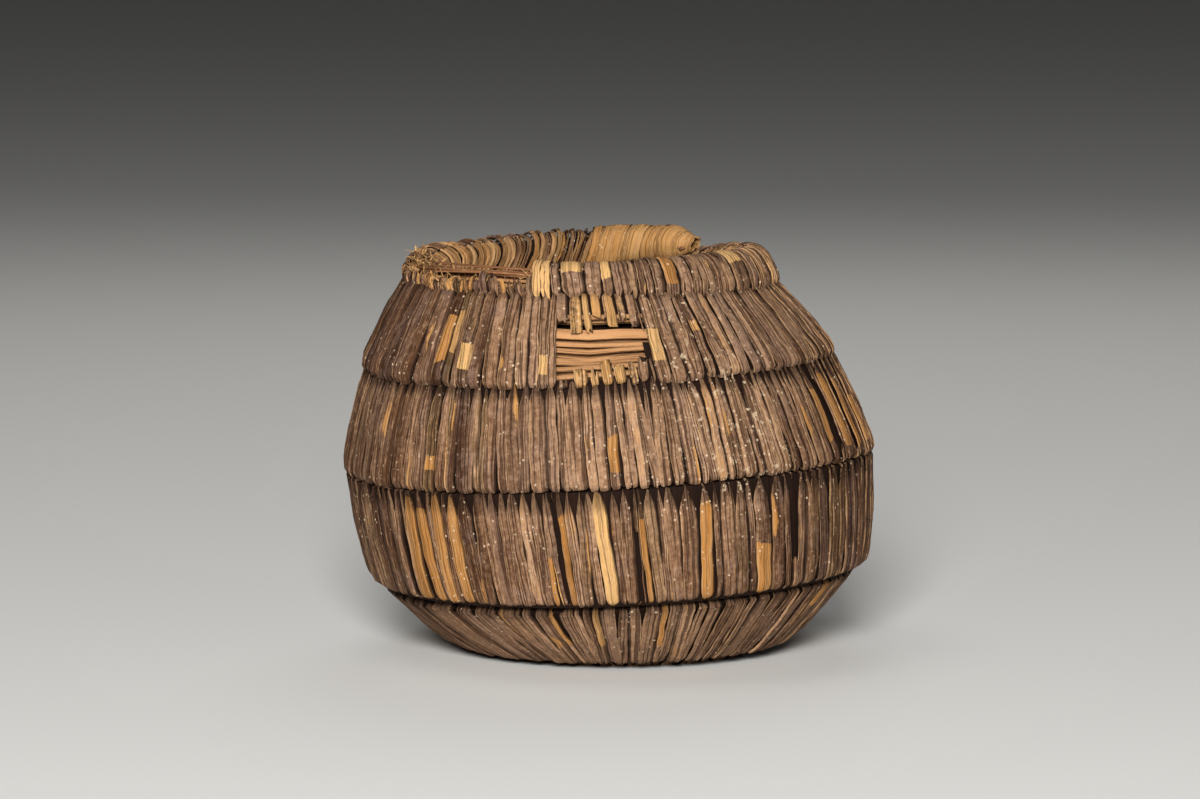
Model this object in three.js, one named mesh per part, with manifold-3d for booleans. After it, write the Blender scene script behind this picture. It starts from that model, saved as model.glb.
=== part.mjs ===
// A miniature coiled basket, in millimetres, +Z up, standing on z = 0 with its start knot at the origin.
// One bundle of split stems spirals out from the knot, up the wall and round the rim. Strips of palm leaf are
// wound round it, each run of winds being one strip's length and a sleeve of its own. Seen from above, the
// bundle climbs clockwise. The front is -Y: there a turn is at a whole number of turns along the spiral.
import * as THREE from "three";
import Module from "manifold-3d";
import { mergeVertices } from "three/addons/utils/BufferGeometryUtils.js";

const wasm = await Module();
wasm.setup();

// Driving dimensions of the basket
const bellyRadius = 49.1; // middle of the wall, at the seam nearest the widest place
const bodyRise = 78.9; // from the middle of the base to the highest seam, over the rim
const wallThickness = 8.2; // a turn of wound bundle, from inside to outside
const knotRadius = 4.8; // the knot that the spiral starts from
const seamGap = 0.46; // between one turn and the next
const restDepth = 0.5; // how much the underside is worn flat
const leanShare = 0.11; // sideways drift of the axis towards -X, as a share of the height above leanStart
const leanStart = 15; // height at which the drift begins
const frontDip = 2.2; // most that a seam lies lower at the front than at the back
const sideFall = 6; // most that a seam lies lower at -X than at +X

// Winding and bundle
const windingThickness = 1.5; // the strips that lie over one another, on the flat of a turn
const bundleGap = 0.3; // between the winding and the stems
const stemGap = 0.34; // between one lot of stems and the next
const runGap = 0.3; // between one run of winding and the next
const cutOverrun = 2;
const mergeDistance = 1e-4;

// Places along the spiral, in turns. A turn's middle lies on its own number at the front.
const climbShare = 0.95; // 0 climbs evenly, 1 runs level across the front
const runPhase = 0.044;
const stepsPerTurn = 24;
const runsPerWallTurn = 8;
const runsInInnerTurn = 2;
const runsInOuterTurn = 3;
const firstTurn = 0;
const firstWallTurn = 2;
const rimTurn = 6;
const startTaperSteps = 4;
const endTaperSteps = 2;
const halfTurnSteps = 12; // from where a turn's runs begin to the run boundary left of the front

// The damage that the basket has
const tornPlace = 4.992; // the middle of the hole in the winding of the top wall turn, in turns
const tornWidth = 18;
const tornLowShare = -0.72;
const tornHighShare = 0.12;
const breakStart = rimTurn + runPhase;
const breakLength = 41; // how far round the rim the winding has lost its upper half
const breakFloorShare = -0.22;
const looseStemWidths = [1.5, 1.1, 1.3, 1];
const looseStemHeightShare = 0.75;
const looseStemSpacing = 1.7;
const looseStemSteps = 6;
const springShare = 0.35; // 0 follows the rim, 1 runs straight across the break

// Places on the spiral's seams, in turns, and what the wall is at each. Half a place is the front of a seam.
const seamPlaces = [-1.5, -0.5, 0.5, 1.5, 2.5, 3.5, 4.5, 5.5, 6, 6.5, 7.5, 8.5];
const seamRadiusShares = [0.106, 0.106, 0.33, 0.615, 0.914, 1, 0.89, 0.718, 0.675, 0.645, 0.635, 0.635];
const seamRiseShares = [0, 0, 0, 0, 0.1716, 0.426, 0.685, 0.863, 0.891, 0.9695, 0.992, 1];
const frontDipShares = [0, 0, 0, 0, 1, 0.1, 0.6, 0, 0, 0.1, 0, 0];
const sideFallShares = [0, 0, 0, 0, 0.83, 1, 0.68, 0, 0.2, 0.4, 0.2, 0.2];
const thicknessShares = [1, 1, 1, 1, 1, 1, 1.03, 1.05, 0.96, 0.88, 0.64, 0.5];
const middleStemShares = [0, 0, 0.26, 0.34, 0.34, 0.34, 0.34, 0.3, 0.2, 0.06, 0, 0];
const shoulderShares = [0.68, 0.68, 0.68, 0.7, 0.8, 0.82, 0.82, 0.8, 0.72, 0.58, 0.56, 0.56];

// Shape of a wound turn across its bundle. The flats of its sides end at its shoulders. In the wall its face
// leans out to the lower edge.
const edgeOverhang = 0.3; // how far the lower edge stands out
const topSetback = 0.7; // how far the top edge stands back
const faceBow = 0.15; // how far the middle of the face stands out
const facingStart = 1.4; // the face takes this shape between these places, and loses it between the next two
const facingFull = 2;
const facingEnd = 5.35;
const facingGone = 5.85;
const cornerWallShare = 0.45; // least winding at a corner of the bundle
const bulgeShare = 0.7; // how far a turn follows the round of the wall between its seams
const pointsPerSide = 4; // for measuring gaps

const palmLeaf = new THREE.MeshStandardMaterial({ color: 0x6e5a48, roughness: 0.82, metalness: 0 });
const paleLeaf = new THREE.MeshStandardMaterial({ color: 0xb98a4a, roughness: 0.78, metalness: 0 });
const splitStem = new THREE.MeshStandardMaterial({ color: 0x9c7350, roughness: 0.85, metalness: 0 });

// A table's value at any place along the spiral, on a smooth curve through its points
function along(shares, turns) {
  const last = seamPlaces.length - 1;
  const place = THREE.MathUtils.clamp(turns, seamPlaces[0], seamPlaces[last]);
  const from = Math.min(seamPlaces.findLastIndex((start) => start <= place), last - 1);
  const slopeAt = (index) => {
    const before = Math.max(index - 1, 0);
    const after = Math.min(index + 1, last);
    return (shares[after] - shares[before]) / (seamPlaces[after] - seamPlaces[before]);
  };
  const length = seamPlaces[from + 1] - seamPlaces[from];
  const part = (place - seamPlaces[from]) / length;
  const rest = 1 - part;
  const ends = shares[from] * (1 + 2 * part) * rest ** 2 + shares[from + 1] * (1 + 2 * rest) * part ** 2;
  const slopes = slopeAt(from) * part * rest ** 2 - slopeAt(from + 1) * rest * part ** 2;
  return ends + length * slopes;
}

const baseMiddle = wallThickness / 2 - restDepth;

// Middle of the wall at a seam, for an azimuth given as turns from the front: x is the radius, y the height
function seam(turns, round) {
  const radius = Math.max(along(seamRadiusShares, turns) * bellyRadius, knotRadius + seamGap);
  const angle = 2 * Math.PI * round;
  const dip = Math.max(along(frontDipShares, turns), 0) * frontDip * (0.5 + 0.5 * Math.cos(angle));
  const fall = Math.max(along(sideFallShares, turns), 0) * sideFall * 0.5 * Math.sin(angle);
  const height = baseMiddle + Math.max(along(seamRiseShares, turns), 0) * bodyRise - dip - fall;
  return new THREE.Vector2(radius, height);
}

// Which way a turn stands across its bundle. The base's turns all lie flat.
function turnDirection(middle, round) {
  const place = Math.max(middle, firstTurn);
  return seam(place + 0.5, round).sub(seam(place - 0.5, round)).normalize();
}

// How high the bundle has climbed, in turns, after going round by a number of turns: most of it at the back
function climbed(round) {
  const angle = 2 * Math.PI * round;
  return round - (climbShare * (8 * Math.sin(angle) - Math.sin(2 * angle))) / (12 * Math.PI);
}

// How far a turn can reach to one side of its middle, short of the plane that halves the seam's angle
function clearReach(turn, bend) {
  const narrow = turn.shoulderShare * turn.halfThickness;
  const lost = seamGap / 2 + narrow * Math.abs(Math.sin(bend)) - turn.bulge * Math.sin(bend);
  return turn.span / 2 - lost / Math.cos(bend);
}

// Half the angle by which the wall bends inwards from one turn's direction to the next one's
function halfBend(lower, upper) {
  return Math.atan2(lower.cross(upper), lower.dot(upper)) / 2;
}

// How much of the wall's leaning face a turn has
function facingShare(middle) {
  const { smoothstep } = THREE.MathUtils;
  return smoothstep(middle, facingStart, facingFull) * (1 - smoothstep(middle, facingEnd, facingGone));
}

// Where a turn lies at a place along the spiral, and its half sizes
function turnAt(round) {
  const middle = climbed(round);
  const low = seam(middle - 0.5, round);
  const high = seam(middle + 0.5, round);
  const up = turnDirection(middle, round);
  const out = new THREE.Vector2(up.y, -up.x);
  const span = low.distanceTo(high);
  const halfThickness = (along(thicknessShares, middle) * wallThickness) / 2;
  const bendBelow = halfBend(turnDirection(middle - 1, round), up);
  const bendAbove = halfBend(up, turnDirection(middle + 1, round));
  const standing = THREE.MathUtils.smoothstep(middle, firstWallTurn, firstWallTurn + 1);
  const bulge = standing * bulgeShare * (span / 2) * Math.tan((bendBelow + bendAbove) / 4);
  const shoulderShare = along(shoulderShares, middle);
  const turn = { span, bulge, halfThickness, shoulderShare };
  const below = clearReach(turn, bendBelow);
  const above = clearReach(turn, bendAbove);
  const centre = low.clone().add(high).divideScalar(2).addScaledVector(up, (above - below) / 2);
  return {
    azimuth: -Math.PI / 2 - 2 * Math.PI * round,
    centre: centre.addScaledVector(out, bulge),
    up,
    out,
    halfThickness,
    halfHeight: (above + below) / 2,
    shoulderShare,
    facing: facingShare(middle),
    middleShare: Math.max(along(middleStemShares, middle), 0),
  };
}

// The basket has slumped to one side above its lowest turns
function settled(point) {
  const drift = leanShare * Math.max(point.z - leanStart, 0);
  return new THREE.Vector3(point.x - drift, point.y, point.z);
}

function placed(turn, outward, upward) {
  const flat = turn.centre.clone().addScaledVector(turn.out, outward).addScaledVector(turn.up, upward);
  return settled(new THREE.Vector3(flat.x * Math.cos(turn.azimuth), flat.x * Math.sin(turn.azimuth), flat.y));
}

// A closed solid through rings of points. Each ring runs the same way round, and both ends are flat fans.
function ringSolid(rings) {
  const sides = rings[0].length;
  const positions = rings.flat().flatMap((point) => point.toArray());
  const index = [];
  for (let ring = 0; ring + 1 < rings.length; ring += 1) {
    for (let side = 0; side < sides; side += 1) {
      const here = ring * sides + side;
      const next = ring * sides + ((side + 1) % sides);
      index.push(here, next, here + sides, next, next + sides, here + sides);
    }
  }
  const end = (rings.length - 1) * sides;
  for (let side = 1; side + 1 < sides; side += 1) {
    index.push(0, side + 1, side, end, end + side, end + side + 1);
  }
  const geometry = new THREE.BufferGeometry();
  geometry.setAttribute("position", new THREE.Float32BufferAttribute(positions, 3));
  geometry.setIndex(index);
  return geometry;
}

// The places of the rings between two ends: every whole step that lies between them, and the ends
function ringPlaces(start, end) {
  const margin = 0.02;
  const first = Math.ceil((start - runPhase) * stepsPerTurn + margin);
  const last = Math.floor((end - runPhase) * stepsPerTurn - margin);
  const places = [start];
  for (let step = first; step <= last; step += 1) {
    places.push(runPhase + step / stepsPerTurn);
  }
  places.push(end);
  return places;
}

// A solid that follows the spiral, with an outline that is given for each place on it
function followSpiral(start, end, outline) {
  const rings = ringPlaces(start, end).map((round) => {
    const turn = turnAt(round);
    return outline(turn).map(([outward, upward]) => placed(turn, outward, upward));
  });
  return ringSolid(rings);
}

function toManifold(geometry) {
  const bare = geometry.clone();
  bare.deleteAttribute("normal");
  bare.deleteAttribute("uv");
  const merged = mergeVertices(bare, mergeDistance);
  const mesh = new wasm.Mesh({
    numProp: 3,
    vertProperties: merged.attributes.position.array,
    triVerts: new Uint32Array(merged.index.array),
  });
  return new wasm.Manifold(mesh);
}

function toGeometry(solid) {
  const mesh = solid.getMesh();
  const geometry = new THREE.BufferGeometry();
  const count = mesh.vertProperties.length / mesh.numProp;
  const positions = new Float32Array(count * 3);
  for (let vertex = 0; vertex < count; vertex += 1) {
    const from = vertex * mesh.numProp;
    positions.set(mesh.vertProperties.subarray(from, from + 3), vertex * 3);
  }
  geometry.setAttribute("position", new THREE.BufferAttribute(positions, 3));
  geometry.setIndex(new THREE.BufferAttribute(mesh.triVerts, 1));
  geometry.computeVertexNormals();
  return geometry;
}

// Outline of the winding: an oblong with its corners worn off
function windingOutline(turn) {
  const across = turn.halfThickness;
  const tall = turn.halfHeight;
  const shoulder = turn.shoulderShare * tall;
  const narrow = turn.shoulderShare * across;
  return [
    [across + turn.facing * edgeOverhang, -shoulder],
    [across + turn.facing * faceBow, 0],
    [across - turn.facing * topSetback, shoulder],
    [narrow, tall],
    [-narrow, tall],
    [-across, shoulder],
    [-across, -shoulder],
    [-narrow, -tall],
    [narrow, -tall],
  ];
}

// Half sizes of the space for the stems inside the winding
function boreSize(turn) {
  const across = turn.halfThickness - windingThickness;
  const slant = Math.hypot(turn.halfThickness, turn.halfHeight) / turn.halfThickness;
  const atChamfer = turn.halfHeight * (1 + turn.shoulderShare - across / turn.halfThickness);
  const atCorner = atChamfer - cornerWallShare * windingThickness * slant;
  const tall = Math.min(atCorner, turn.halfHeight - windingThickness);
  return { across, tall };
}

function boreOutline(turn) {
  const { across, tall } = boreSize(turn);
  return [
    [across, -tall],
    [across, tall],
    [-across, tall],
    [-across, -tall],
  ];
}

// Outline of one lot of stems: the lots lie one above another in the bore
function stemOutline(turn, lot) {
  const bore = boreSize(turn);
  const across = bore.across - bundleGap;
  const tall = bore.tall - bundleGap;
  const middle = turn.middleShare * tall;
  const [low, high] = {
    lower: [-tall, -middle - stemGap / 2],
    middle: [-middle + stemGap / 2, middle - stemGap / 2],
    upper: [middle + stemGap / 2, tall],
  }[lot];
  return [
    [across, low],
    [across, high],
    [-across, high],
    [-across, low],
  ];
}

// What is taken away on the outside of a turn, between two shares of its half height
function tearOutline(turn) {
  const inner = turn.halfThickness - windingThickness - bundleGap / 2;
  const outer = turn.halfThickness + cutOverrun;
  return [
    [inner, tornLowShare * turn.halfHeight],
    [outer, tornLowShare * turn.halfHeight],
    [outer, tornHighShare * turn.halfHeight],
    [inner, tornHighShare * turn.halfHeight],
  ];
}

// What is taken away from the whole top of a turn
function breakOutline(turn) {
  const reach = turn.halfThickness + cutOverrun;
  const floor = breakFloorShare * turn.halfHeight;
  const top = turn.halfHeight + cutOverrun;
  return [
    [-reach, floor],
    [reach, floor],
    [reach, top],
    [-reach, top],
  ];
}

// Points on every side of an outline, all along a solid that follows the spiral
function measuringPoints(start, end, outline) {
  return ringPlaces(start, end).map((round) => {
    const turn = turnAt(round);
    const corners = outline(turn).map(([outward, upward]) => placed(turn, outward, upward));
    return corners.flatMap((corner, index) => {
      const next = corners[(index + 1) % corners.length];
      const shares = Array.from({ length: pointsPerSide }, (_, part) => part / pointsPerSide);
      return shares.map((share) => corner.clone().lerp(next, share));
    });
  });
}

// The least gap of a winding solid to itself, between places that are at least half a turn apart
function leastGapToItself(start, end, outline) {
  const rings = measuringPoints(start, end, outline);
  let least = Infinity;
  rings.forEach((ring, index) => {
    for (const other of rings.slice(index + stepsPerTurn / 2)) {
      for (const point of ring) {
        for (const opposite of other) {
          least = Math.min(least, point.distanceTo(opposite));
        }
      }
    }
  });
  return least;
}

const basket = new THREE.Group();

function addPiece(name, geometry, material) {
  const mesh = new THREE.Mesh(geometry, material);
  mesh.name = name;
  basket.add(mesh);
}

// Half the gap between two runs, in turns
function halfGap(round) {
  return asTurns(runGap, round) / 2;
}

function underFloor() {
  const size = 4 * bellyRadius;
  const box = new THREE.BoxGeometry(size, size, wallThickness);
  box.translate(0, 0, -wallThickness / 2);
  return toManifold(box);
}

// A length along a turn, in turns
function asTurns(length, round) {
  return length / (2 * Math.PI * turnAt(round).centre.x);
}

const tornFrom = tornPlace - asTurns(tornWidth, tornPlace) / 2;
const tornTo = tornPlace + asTurns(tornWidth, tornPlace) / 2;
const breakEnd = breakStart + asTurns(breakLength, breakStart);
const tornWindow = toManifold(followSpiral(tornFrom, tornTo, tearOutline));
const rimBreak = toManifold(followSpiral(breakStart - halfGap(breakStart), breakEnd, breakOutline));
const floorCut = underFloor();

// One run of winding. A hollow run is a sleeve round the stems, and a solid one is a tapered end.
function windingRun(start, end, hollow) {
  const from = start + halfGap(start);
  const to = end - halfGap(end);
  let solid = toManifold(followSpiral(from, to, windingOutline));
  if (hollow) {
    const past = 2 * halfGap(start);
    solid = solid.subtract(toManifold(followSpiral(from - past, to + past, boreOutline)));
  }
  if (to > tornFrom && from < tornTo) {
    solid = solid.subtract(tornWindow);
  }
  if (to > breakStart && from < breakEnd) {
    solid = solid.subtract(rimBreak);
  }
  if (end < firstWallTurn) {
    solid = solid.subtract(floorCut);
  }
  return toGeometry(solid);
}

function turnStart(turn) {
  return turn + runPhase - halfTurnSteps / stepsPerTurn;
}

function addTurn(name, turn, runs, material) {
  for (let run = 0; run < runs; run += 1) {
    const start = turnStart(turn) + run / runs;
    addPiece(`${name}_winding_${run + 1}`, windingRun(start, start + 1 / runs, true), material);
  }
}

function addWinding() {
  const spiralStart = turnStart(firstTurn);
  const spiralEnd = turnStart(rimTurn + 1);
  const taperStart = spiralStart - startTaperSteps / stepsPerTurn;
  addPiece("base_start_taper", windingRun(taperStart, spiralStart, false), palmLeaf);
  addTurn("base_inner", firstTurn, runsInInnerTurn, palmLeaf);
  addTurn("base_outer", firstTurn + 1, runsInOuterTurn, palmLeaf);
  for (let turn = firstWallTurn; turn < rimTurn; turn += 1) {
    addTurn(`wall_turn_${turn - firstWallTurn + 1}`, turn, runsPerWallTurn, palmLeaf);
  }
  addTurn("rim", rimTurn, runsPerWallTurn, paleLeaf);
  const taperEnd = spiralEnd + endTaperSteps / stepsPerTurn;
  addPiece("rim_end_lashing", windingRun(spiralEnd, taperEnd, false), paleLeaf);
}

// The bundle: two lots of stems run from the knot to the end of the rim, and a third thickens it between
function addStems() {
  const spiralStart = turnStart(firstTurn) + halfGap(turnStart(firstTurn));
  const spiralEnd = turnStart(rimTurn + 1) - halfGap(turnStart(rimTurn + 1));
  const pastBreak = breakEnd + halfGap(breakEnd);
  const addLot = (name, start, end, lot) => {
    const outline = (turn) => stemOutline(turn, lot);
    addPiece(name, followSpiral(start, end, outline), splitStem);
    const least = leastGapToItself(start, end, outline);
    if (Number.isFinite(least)) {
      console.log(`${name}: least gap to itself ${least.toFixed(2)} mm`);
    }
  };
  addLot("stems_lower", spiralStart, spiralEnd, "lower");
  addLot("stems_middle", turnStart(firstTurn + 1), turnStart(rimTurn), "middle");
  addLot("stems_upper", spiralStart, breakStart, "upper");
  addLot("stems_upper_past_break", pastBreak, spiralEnd, "upper");
  const seamLeast = leastGapToItself(spiralStart, spiralEnd, windingOutline);
  console.log(`winding: least gap from turn to turn ${seamLeast.toFixed(2)} mm`);
}

// The knot at the middle of the base, with a worn flat underside
function addKnot() {
  const top = wallThickness - restDepth;
  const round = wallThickness / 6;
  const profile = new THREE.Path();
  profile.moveTo(0, 0);
  profile.lineTo(knotRadius - round / 2, 0);
  profile.lineTo(knotRadius, round);
  profile.lineTo(knotRadius, top - round);
  profile.lineTo(knotRadius - round, top);
  profile.lineTo(0, top);
  const knot = new THREE.LatheGeometry(profile.getPoints(1), stepsPerTurn);
  knot.rotateX(Math.PI / 2);
  addPiece("start_knot", knot, palmLeaf);
}

// A stem that has sprung out of the broken rim, inward of the rim's middle by a distance
function looseStem(width, inward) {
  const start = breakStart + halfGap(breakStart);
  const end = breakEnd - halfGap(breakEnd);
  const half = { across: width / 2, tall: (looseStemHeightShare * width) / 2 };
  const restingOn = (turn) => placed(turn, -inward, stemGap / 2 + half.tall);
  const near = restingOn(turnAt(start));
  const far = restingOn(turnAt(end));
  const rings = [];
  for (let step = 0; step <= looseStemSteps; step += 1) {
    const share = step / looseStemSteps;
    const turn = turnAt(THREE.MathUtils.lerp(start, end, share));
    const straight = near.clone().lerp(far, share);
    const middle = restingOn(turn).lerp(straight, springShare);
    const outward = new THREE.Vector3(Math.cos(turn.azimuth), Math.sin(turn.azimuth), 0);
    const upward = new THREE.Vector3(0, 0, 1);
    const corner = (across, up) =>
      middle.clone().addScaledVector(outward, across * half.across).addScaledVector(upward, up * half.tall);
    rings.push([corner(1, -1), corner(1, 1), corner(-1, 1), corner(-1, -1)]);
  }
  return ringSolid(rings);
}

function addLooseStems() {
  const middleIndex = (looseStemWidths.length - 1) / 2;
  looseStemWidths.forEach((width, index) => {
    const inward = (index - middleIndex) * looseStemSpacing;
    addPiece(`loose_stem_${index + 1}`, looseStem(width, inward), splitStem);
  });
}

addKnot();
addWinding();
addStems();
addLooseStems();

export default basket;
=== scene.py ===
"""A miniature coiled basket, old, worn and torn: strips of leaf round a spiral bundle of split stems."""

from collections import namedtuple
import math

import bpy
import numpy as np
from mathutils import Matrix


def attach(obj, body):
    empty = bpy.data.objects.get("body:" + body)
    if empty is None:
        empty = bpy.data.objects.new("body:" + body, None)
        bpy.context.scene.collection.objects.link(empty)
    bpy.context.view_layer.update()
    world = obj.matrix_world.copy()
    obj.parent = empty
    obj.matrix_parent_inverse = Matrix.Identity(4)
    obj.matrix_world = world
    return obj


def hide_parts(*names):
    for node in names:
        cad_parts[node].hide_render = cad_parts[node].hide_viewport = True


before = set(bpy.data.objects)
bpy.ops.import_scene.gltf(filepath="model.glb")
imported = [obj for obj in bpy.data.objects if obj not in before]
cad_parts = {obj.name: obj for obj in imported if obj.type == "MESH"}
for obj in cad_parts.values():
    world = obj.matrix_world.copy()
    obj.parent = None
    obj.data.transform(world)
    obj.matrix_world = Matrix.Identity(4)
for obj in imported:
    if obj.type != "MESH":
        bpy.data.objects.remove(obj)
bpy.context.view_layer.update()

bl_info = {
    "name": "Coiled Basket",
    "version": (1, 0, 0),
    "blender": (4, 5, 0),
    "location": "View3D > Sidebar > Basket",
    "description": "Winds a miniature basket from leaf strips round a spiral of split stems",
    "category": "Add Mesh",
}

MM = 0.001
ROUND = 2 * math.pi

# Places on the spiral's seams, in turns, and what the wall is at each. Half a place is the front of a seam.
SEAM_PLACES = (-1.5, -0.5, 0.5, 1.5, 2.5, 3.5, 4.5, 5.5, 6, 6.5, 7.5, 8.5)
SEAM_RADIUS_SHARES = (0.106, 0.106, 0.33, 0.615, 0.914, 1, 0.89, 0.718, 0.675, 0.645, 0.635, 0.635)
SEAM_RISE_SHARES = (0, 0, 0, 0, 0.1716, 0.426, 0.685, 0.863, 0.891, 0.9695, 0.992, 1)
FRONT_DIP_SHARES = (0, 0, 0, 0, 1, 0.1, 0.6, 0, 0, 0.1, 0, 0)
SIDE_FALL_SHARES = (0, 0, 0, 0, 0.83, 1, 0.68, 0, 0.2, 0.4, 0.2, 0.2)
THICKNESS_SHARES = (1, 1, 1, 1, 1, 1, 1.03, 1.05, 0.96, 0.88, 0.64, 0.5)
SHOULDER_SHARES = (0.68, 0.68, 0.68, 0.7, 0.8, 0.82, 0.82, 0.8, 0.72, 0.58, 0.56, 0.56)

FRONT_DIP = 2.2 * MM  # how far seams sag at the front
SIDE_FALL = 6 * MM  # and how far they fall from left to right
SEAM_GAP = 0.46 * MM  # between the sections of two turns
REST_DEPTH = 0.5 * MM  # how much of the base's lowest line is rubbed flat
LEAN_SHARE = 0.11  # how far the basket leans to the left, for its height over a start
LEAN_START = 15 * MM
CLIMB_SHARE = 0.95  # how much of a turn's climb is made at the back
BULGE_SHARE = 0.7  # how far turns follow the curve of the wall between their seams
WINDING_DEPTH = 1.15 * MM

# The wall's turns lean out to their lower edge, between the first two of these places and the last two
EDGE_OVERHANG = 0.3 * MM
TOP_SETBACK = 0.7 * MM
FACE_BOW = 0.15 * MM
FACING_PLACES = (1.4, 2, 5.35, 5.85)

# How far a turn's lower edge hangs over the turn below at some places on the spiral, of the whole edge drop
LIP_PLACES = (2.3, 2.7, 3.3, 3.7, 4.3, 4.7, 5.3, 5.7)
LIP_SHARES = (0.3, 0.0, 0.0, 1.0, 1.0, 1.5, 1.5, 0.0)

RUN_PHASE = 0.044  # a run of winding starts this far after a whole turn
TURN_LEAD = 0.456  # a turn's first run starts this far before the turn's own number
FIRST_WALL_TURN = 2
RIM_TURN = 6
SPIRAL_START = -0.623
SPIRAL_END = 6.627
BREAK_START = RIM_TURN + RUN_PHASE
BREAK_LENGTH = 0.2
BREAK_END = BREAK_START + BREAK_LENGTH
COLLAR_LENGTH = 0.014  # clean strips that stand out where the break starts
LASHING_START = 6.5
END_TAPER = 0.036  # how long the rim's end is drawn together
END_CLOSING = 0.94  # and by how much
LOW_TURN_LEAN = 0.4  # strips of the lowest wall turn lie aslant on the left
RIM_LEAN = 0.55  # and so do those of the back rim and the lashing

# The camera that the basket was measured with
PHOTO_WIDTH = 1200
PHOTO_HEIGHT = 799
PHOTO_FOCUS = 5150  # focal length in pixels
CAMERA_PLACE = np.array((-0.0044, -1.03, 0.157))
CAMERA_AIM = np.array((-0.0044, 0, 0.0498))
SENSOR_WIDTH = 36

FRONT_REACH = 0.24  # the part of a round to each side of the front that the photo shows
FRONT_LIMIT = -4 * MM  # points that lie before this face the camera
FLOOR_GAP = 0.03 * MM  # the lowest that a point may lie

# Stems of a turn: how high each lies in it, and how tall it is
WALL_ROWS = ((-0.84, -0.6, -0.36, -0.12, 0.12, 0.36, 0.6, 0.84), (0.14,) * 8)
WINDOW_ROWS = (
    (-0.84, -0.67, -0.47, -0.23, -0.07, 0.18, 0.68, 0.84), (0.13, 0.12, 0.17, 0.14, 0.14, 0.29, 0.15, 0.13)
)
RIM_LOWER_ROWS = ((-0.62, -0.42, -0.24, -0.06), (0.2, 0.18, 0.18, 0.16))
RIM_UPPER_ROWS = ((0.12, 0.34, 0.54), (0.24, 0.24, 0.2))

# The torn window in the highest wall turn, in pixels of the photo
WINDOW_LEFT = 556
WINDOW_RIGHT = 647
WINDOW_TOP = 312
WINDOW_BOTTOM = 377

# How far down the stubs hang above the window, and how far up they stand below it: (across, down)
WINDOW_STUBS_ABOVE = (
    (556, 322), (565, 320), (570, 331), (585, 331), (592, 326),
    (600, 313), (610, 319), (620, 323), (630, 317), (647, 324),
)
WINDOW_STUBS_BELOW = (
    (556, 375), (575, 373), (590, 369), (600, 362), (612, 367), (625, 365), (640, 361), (647, 358),
)

# Where the window's strips start and end: (left, right)
WINDOW_STRIPS = ((556, 569), (570, 585), (586, 595), (596, 608), (610, 622), (623, 633), (634, 646))

# Marked places on the front, in pixels of the photo, by turn and kind: bare, golden, pale, gone or torn
Patch = namedtuple("Patch", "left right top bottom kind")
TO_EDGE = 612  # past the lower edge of turn 3
PATCHES = {
    2: {
        "golden": ((515, 520, 598, 640), (560, 566, 600, 645), (660, 668, 604, 648), (820, 829, 570, 606)),
        "bare": ((596, 604, 604, 648),),
    },
    3: {
        "golden": (
            (411, 421, 492, TO_EDGE), (425, 436, 510, TO_EDGE), (438, 449, 495, TO_EDGE),
            (452, 464, 495, TO_EDGE), (552, 558, 560, TO_EDGE), (564, 572, 516, TO_EDGE),
            (643, 651, 520, TO_EDGE), (700, 716, 500, TO_EDGE), (756, 773, 543, TO_EDGE),
        ),
        "pale": ((598, 614, 492, TO_EDGE),),
        "gone": (
            (406, 411, 500, TO_EDGE), (421, 425, 492, TO_EDGE), (559, 564, 512, TO_EDGE),
            (637, 642, 530, TO_EDGE), (793, 800, 476, 560),
        ),
    },
    4: {
        "golden": (
            (424, 436, 456, 470), (608, 621, 434, 472), (820, 828, 388, 440),
            (833, 841, 375, 445), (845, 851, 380, 442), (856, 861, 395, 440),
        ),
        "gone": ((828, 832, 380, 445), (841, 844, 370, 445)),
    },
    5: {
        "golden": ((440, 450, 318, 362),),
        "pale": ((459, 473, 342, 367), (538, 548, 355, 376), (648, 663, 326, 358)),
        "bare": ((452, 460, 310, 352), (690, 700, 318, 330)),
        "torn": tuple((left, right, WINDOW_TOP, WINDOW_BOTTOM) for left, right in WINDOW_STRIPS),
    },
    6: {
        "golden": ((660, 676, 250, 282),),
        "pale": ((600, 612, 262, 280), (716, 730, 240, 262), (560, 584, 258, 272)),
    },
}


def length_property(name, description, default):
    return bpy.props.FloatProperty(
        name=name,
        description=description,
        default=default,
        min=0,
        unit="LENGTH",
        subtype="DISTANCE",
        precision=5,
    )


def colour_property(name, description, default):
    return bpy.props.FloatVectorProperty(
        name=name, description=description, default=default, size=3, min=0, max=1, subtype="COLOR"
    )


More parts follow.
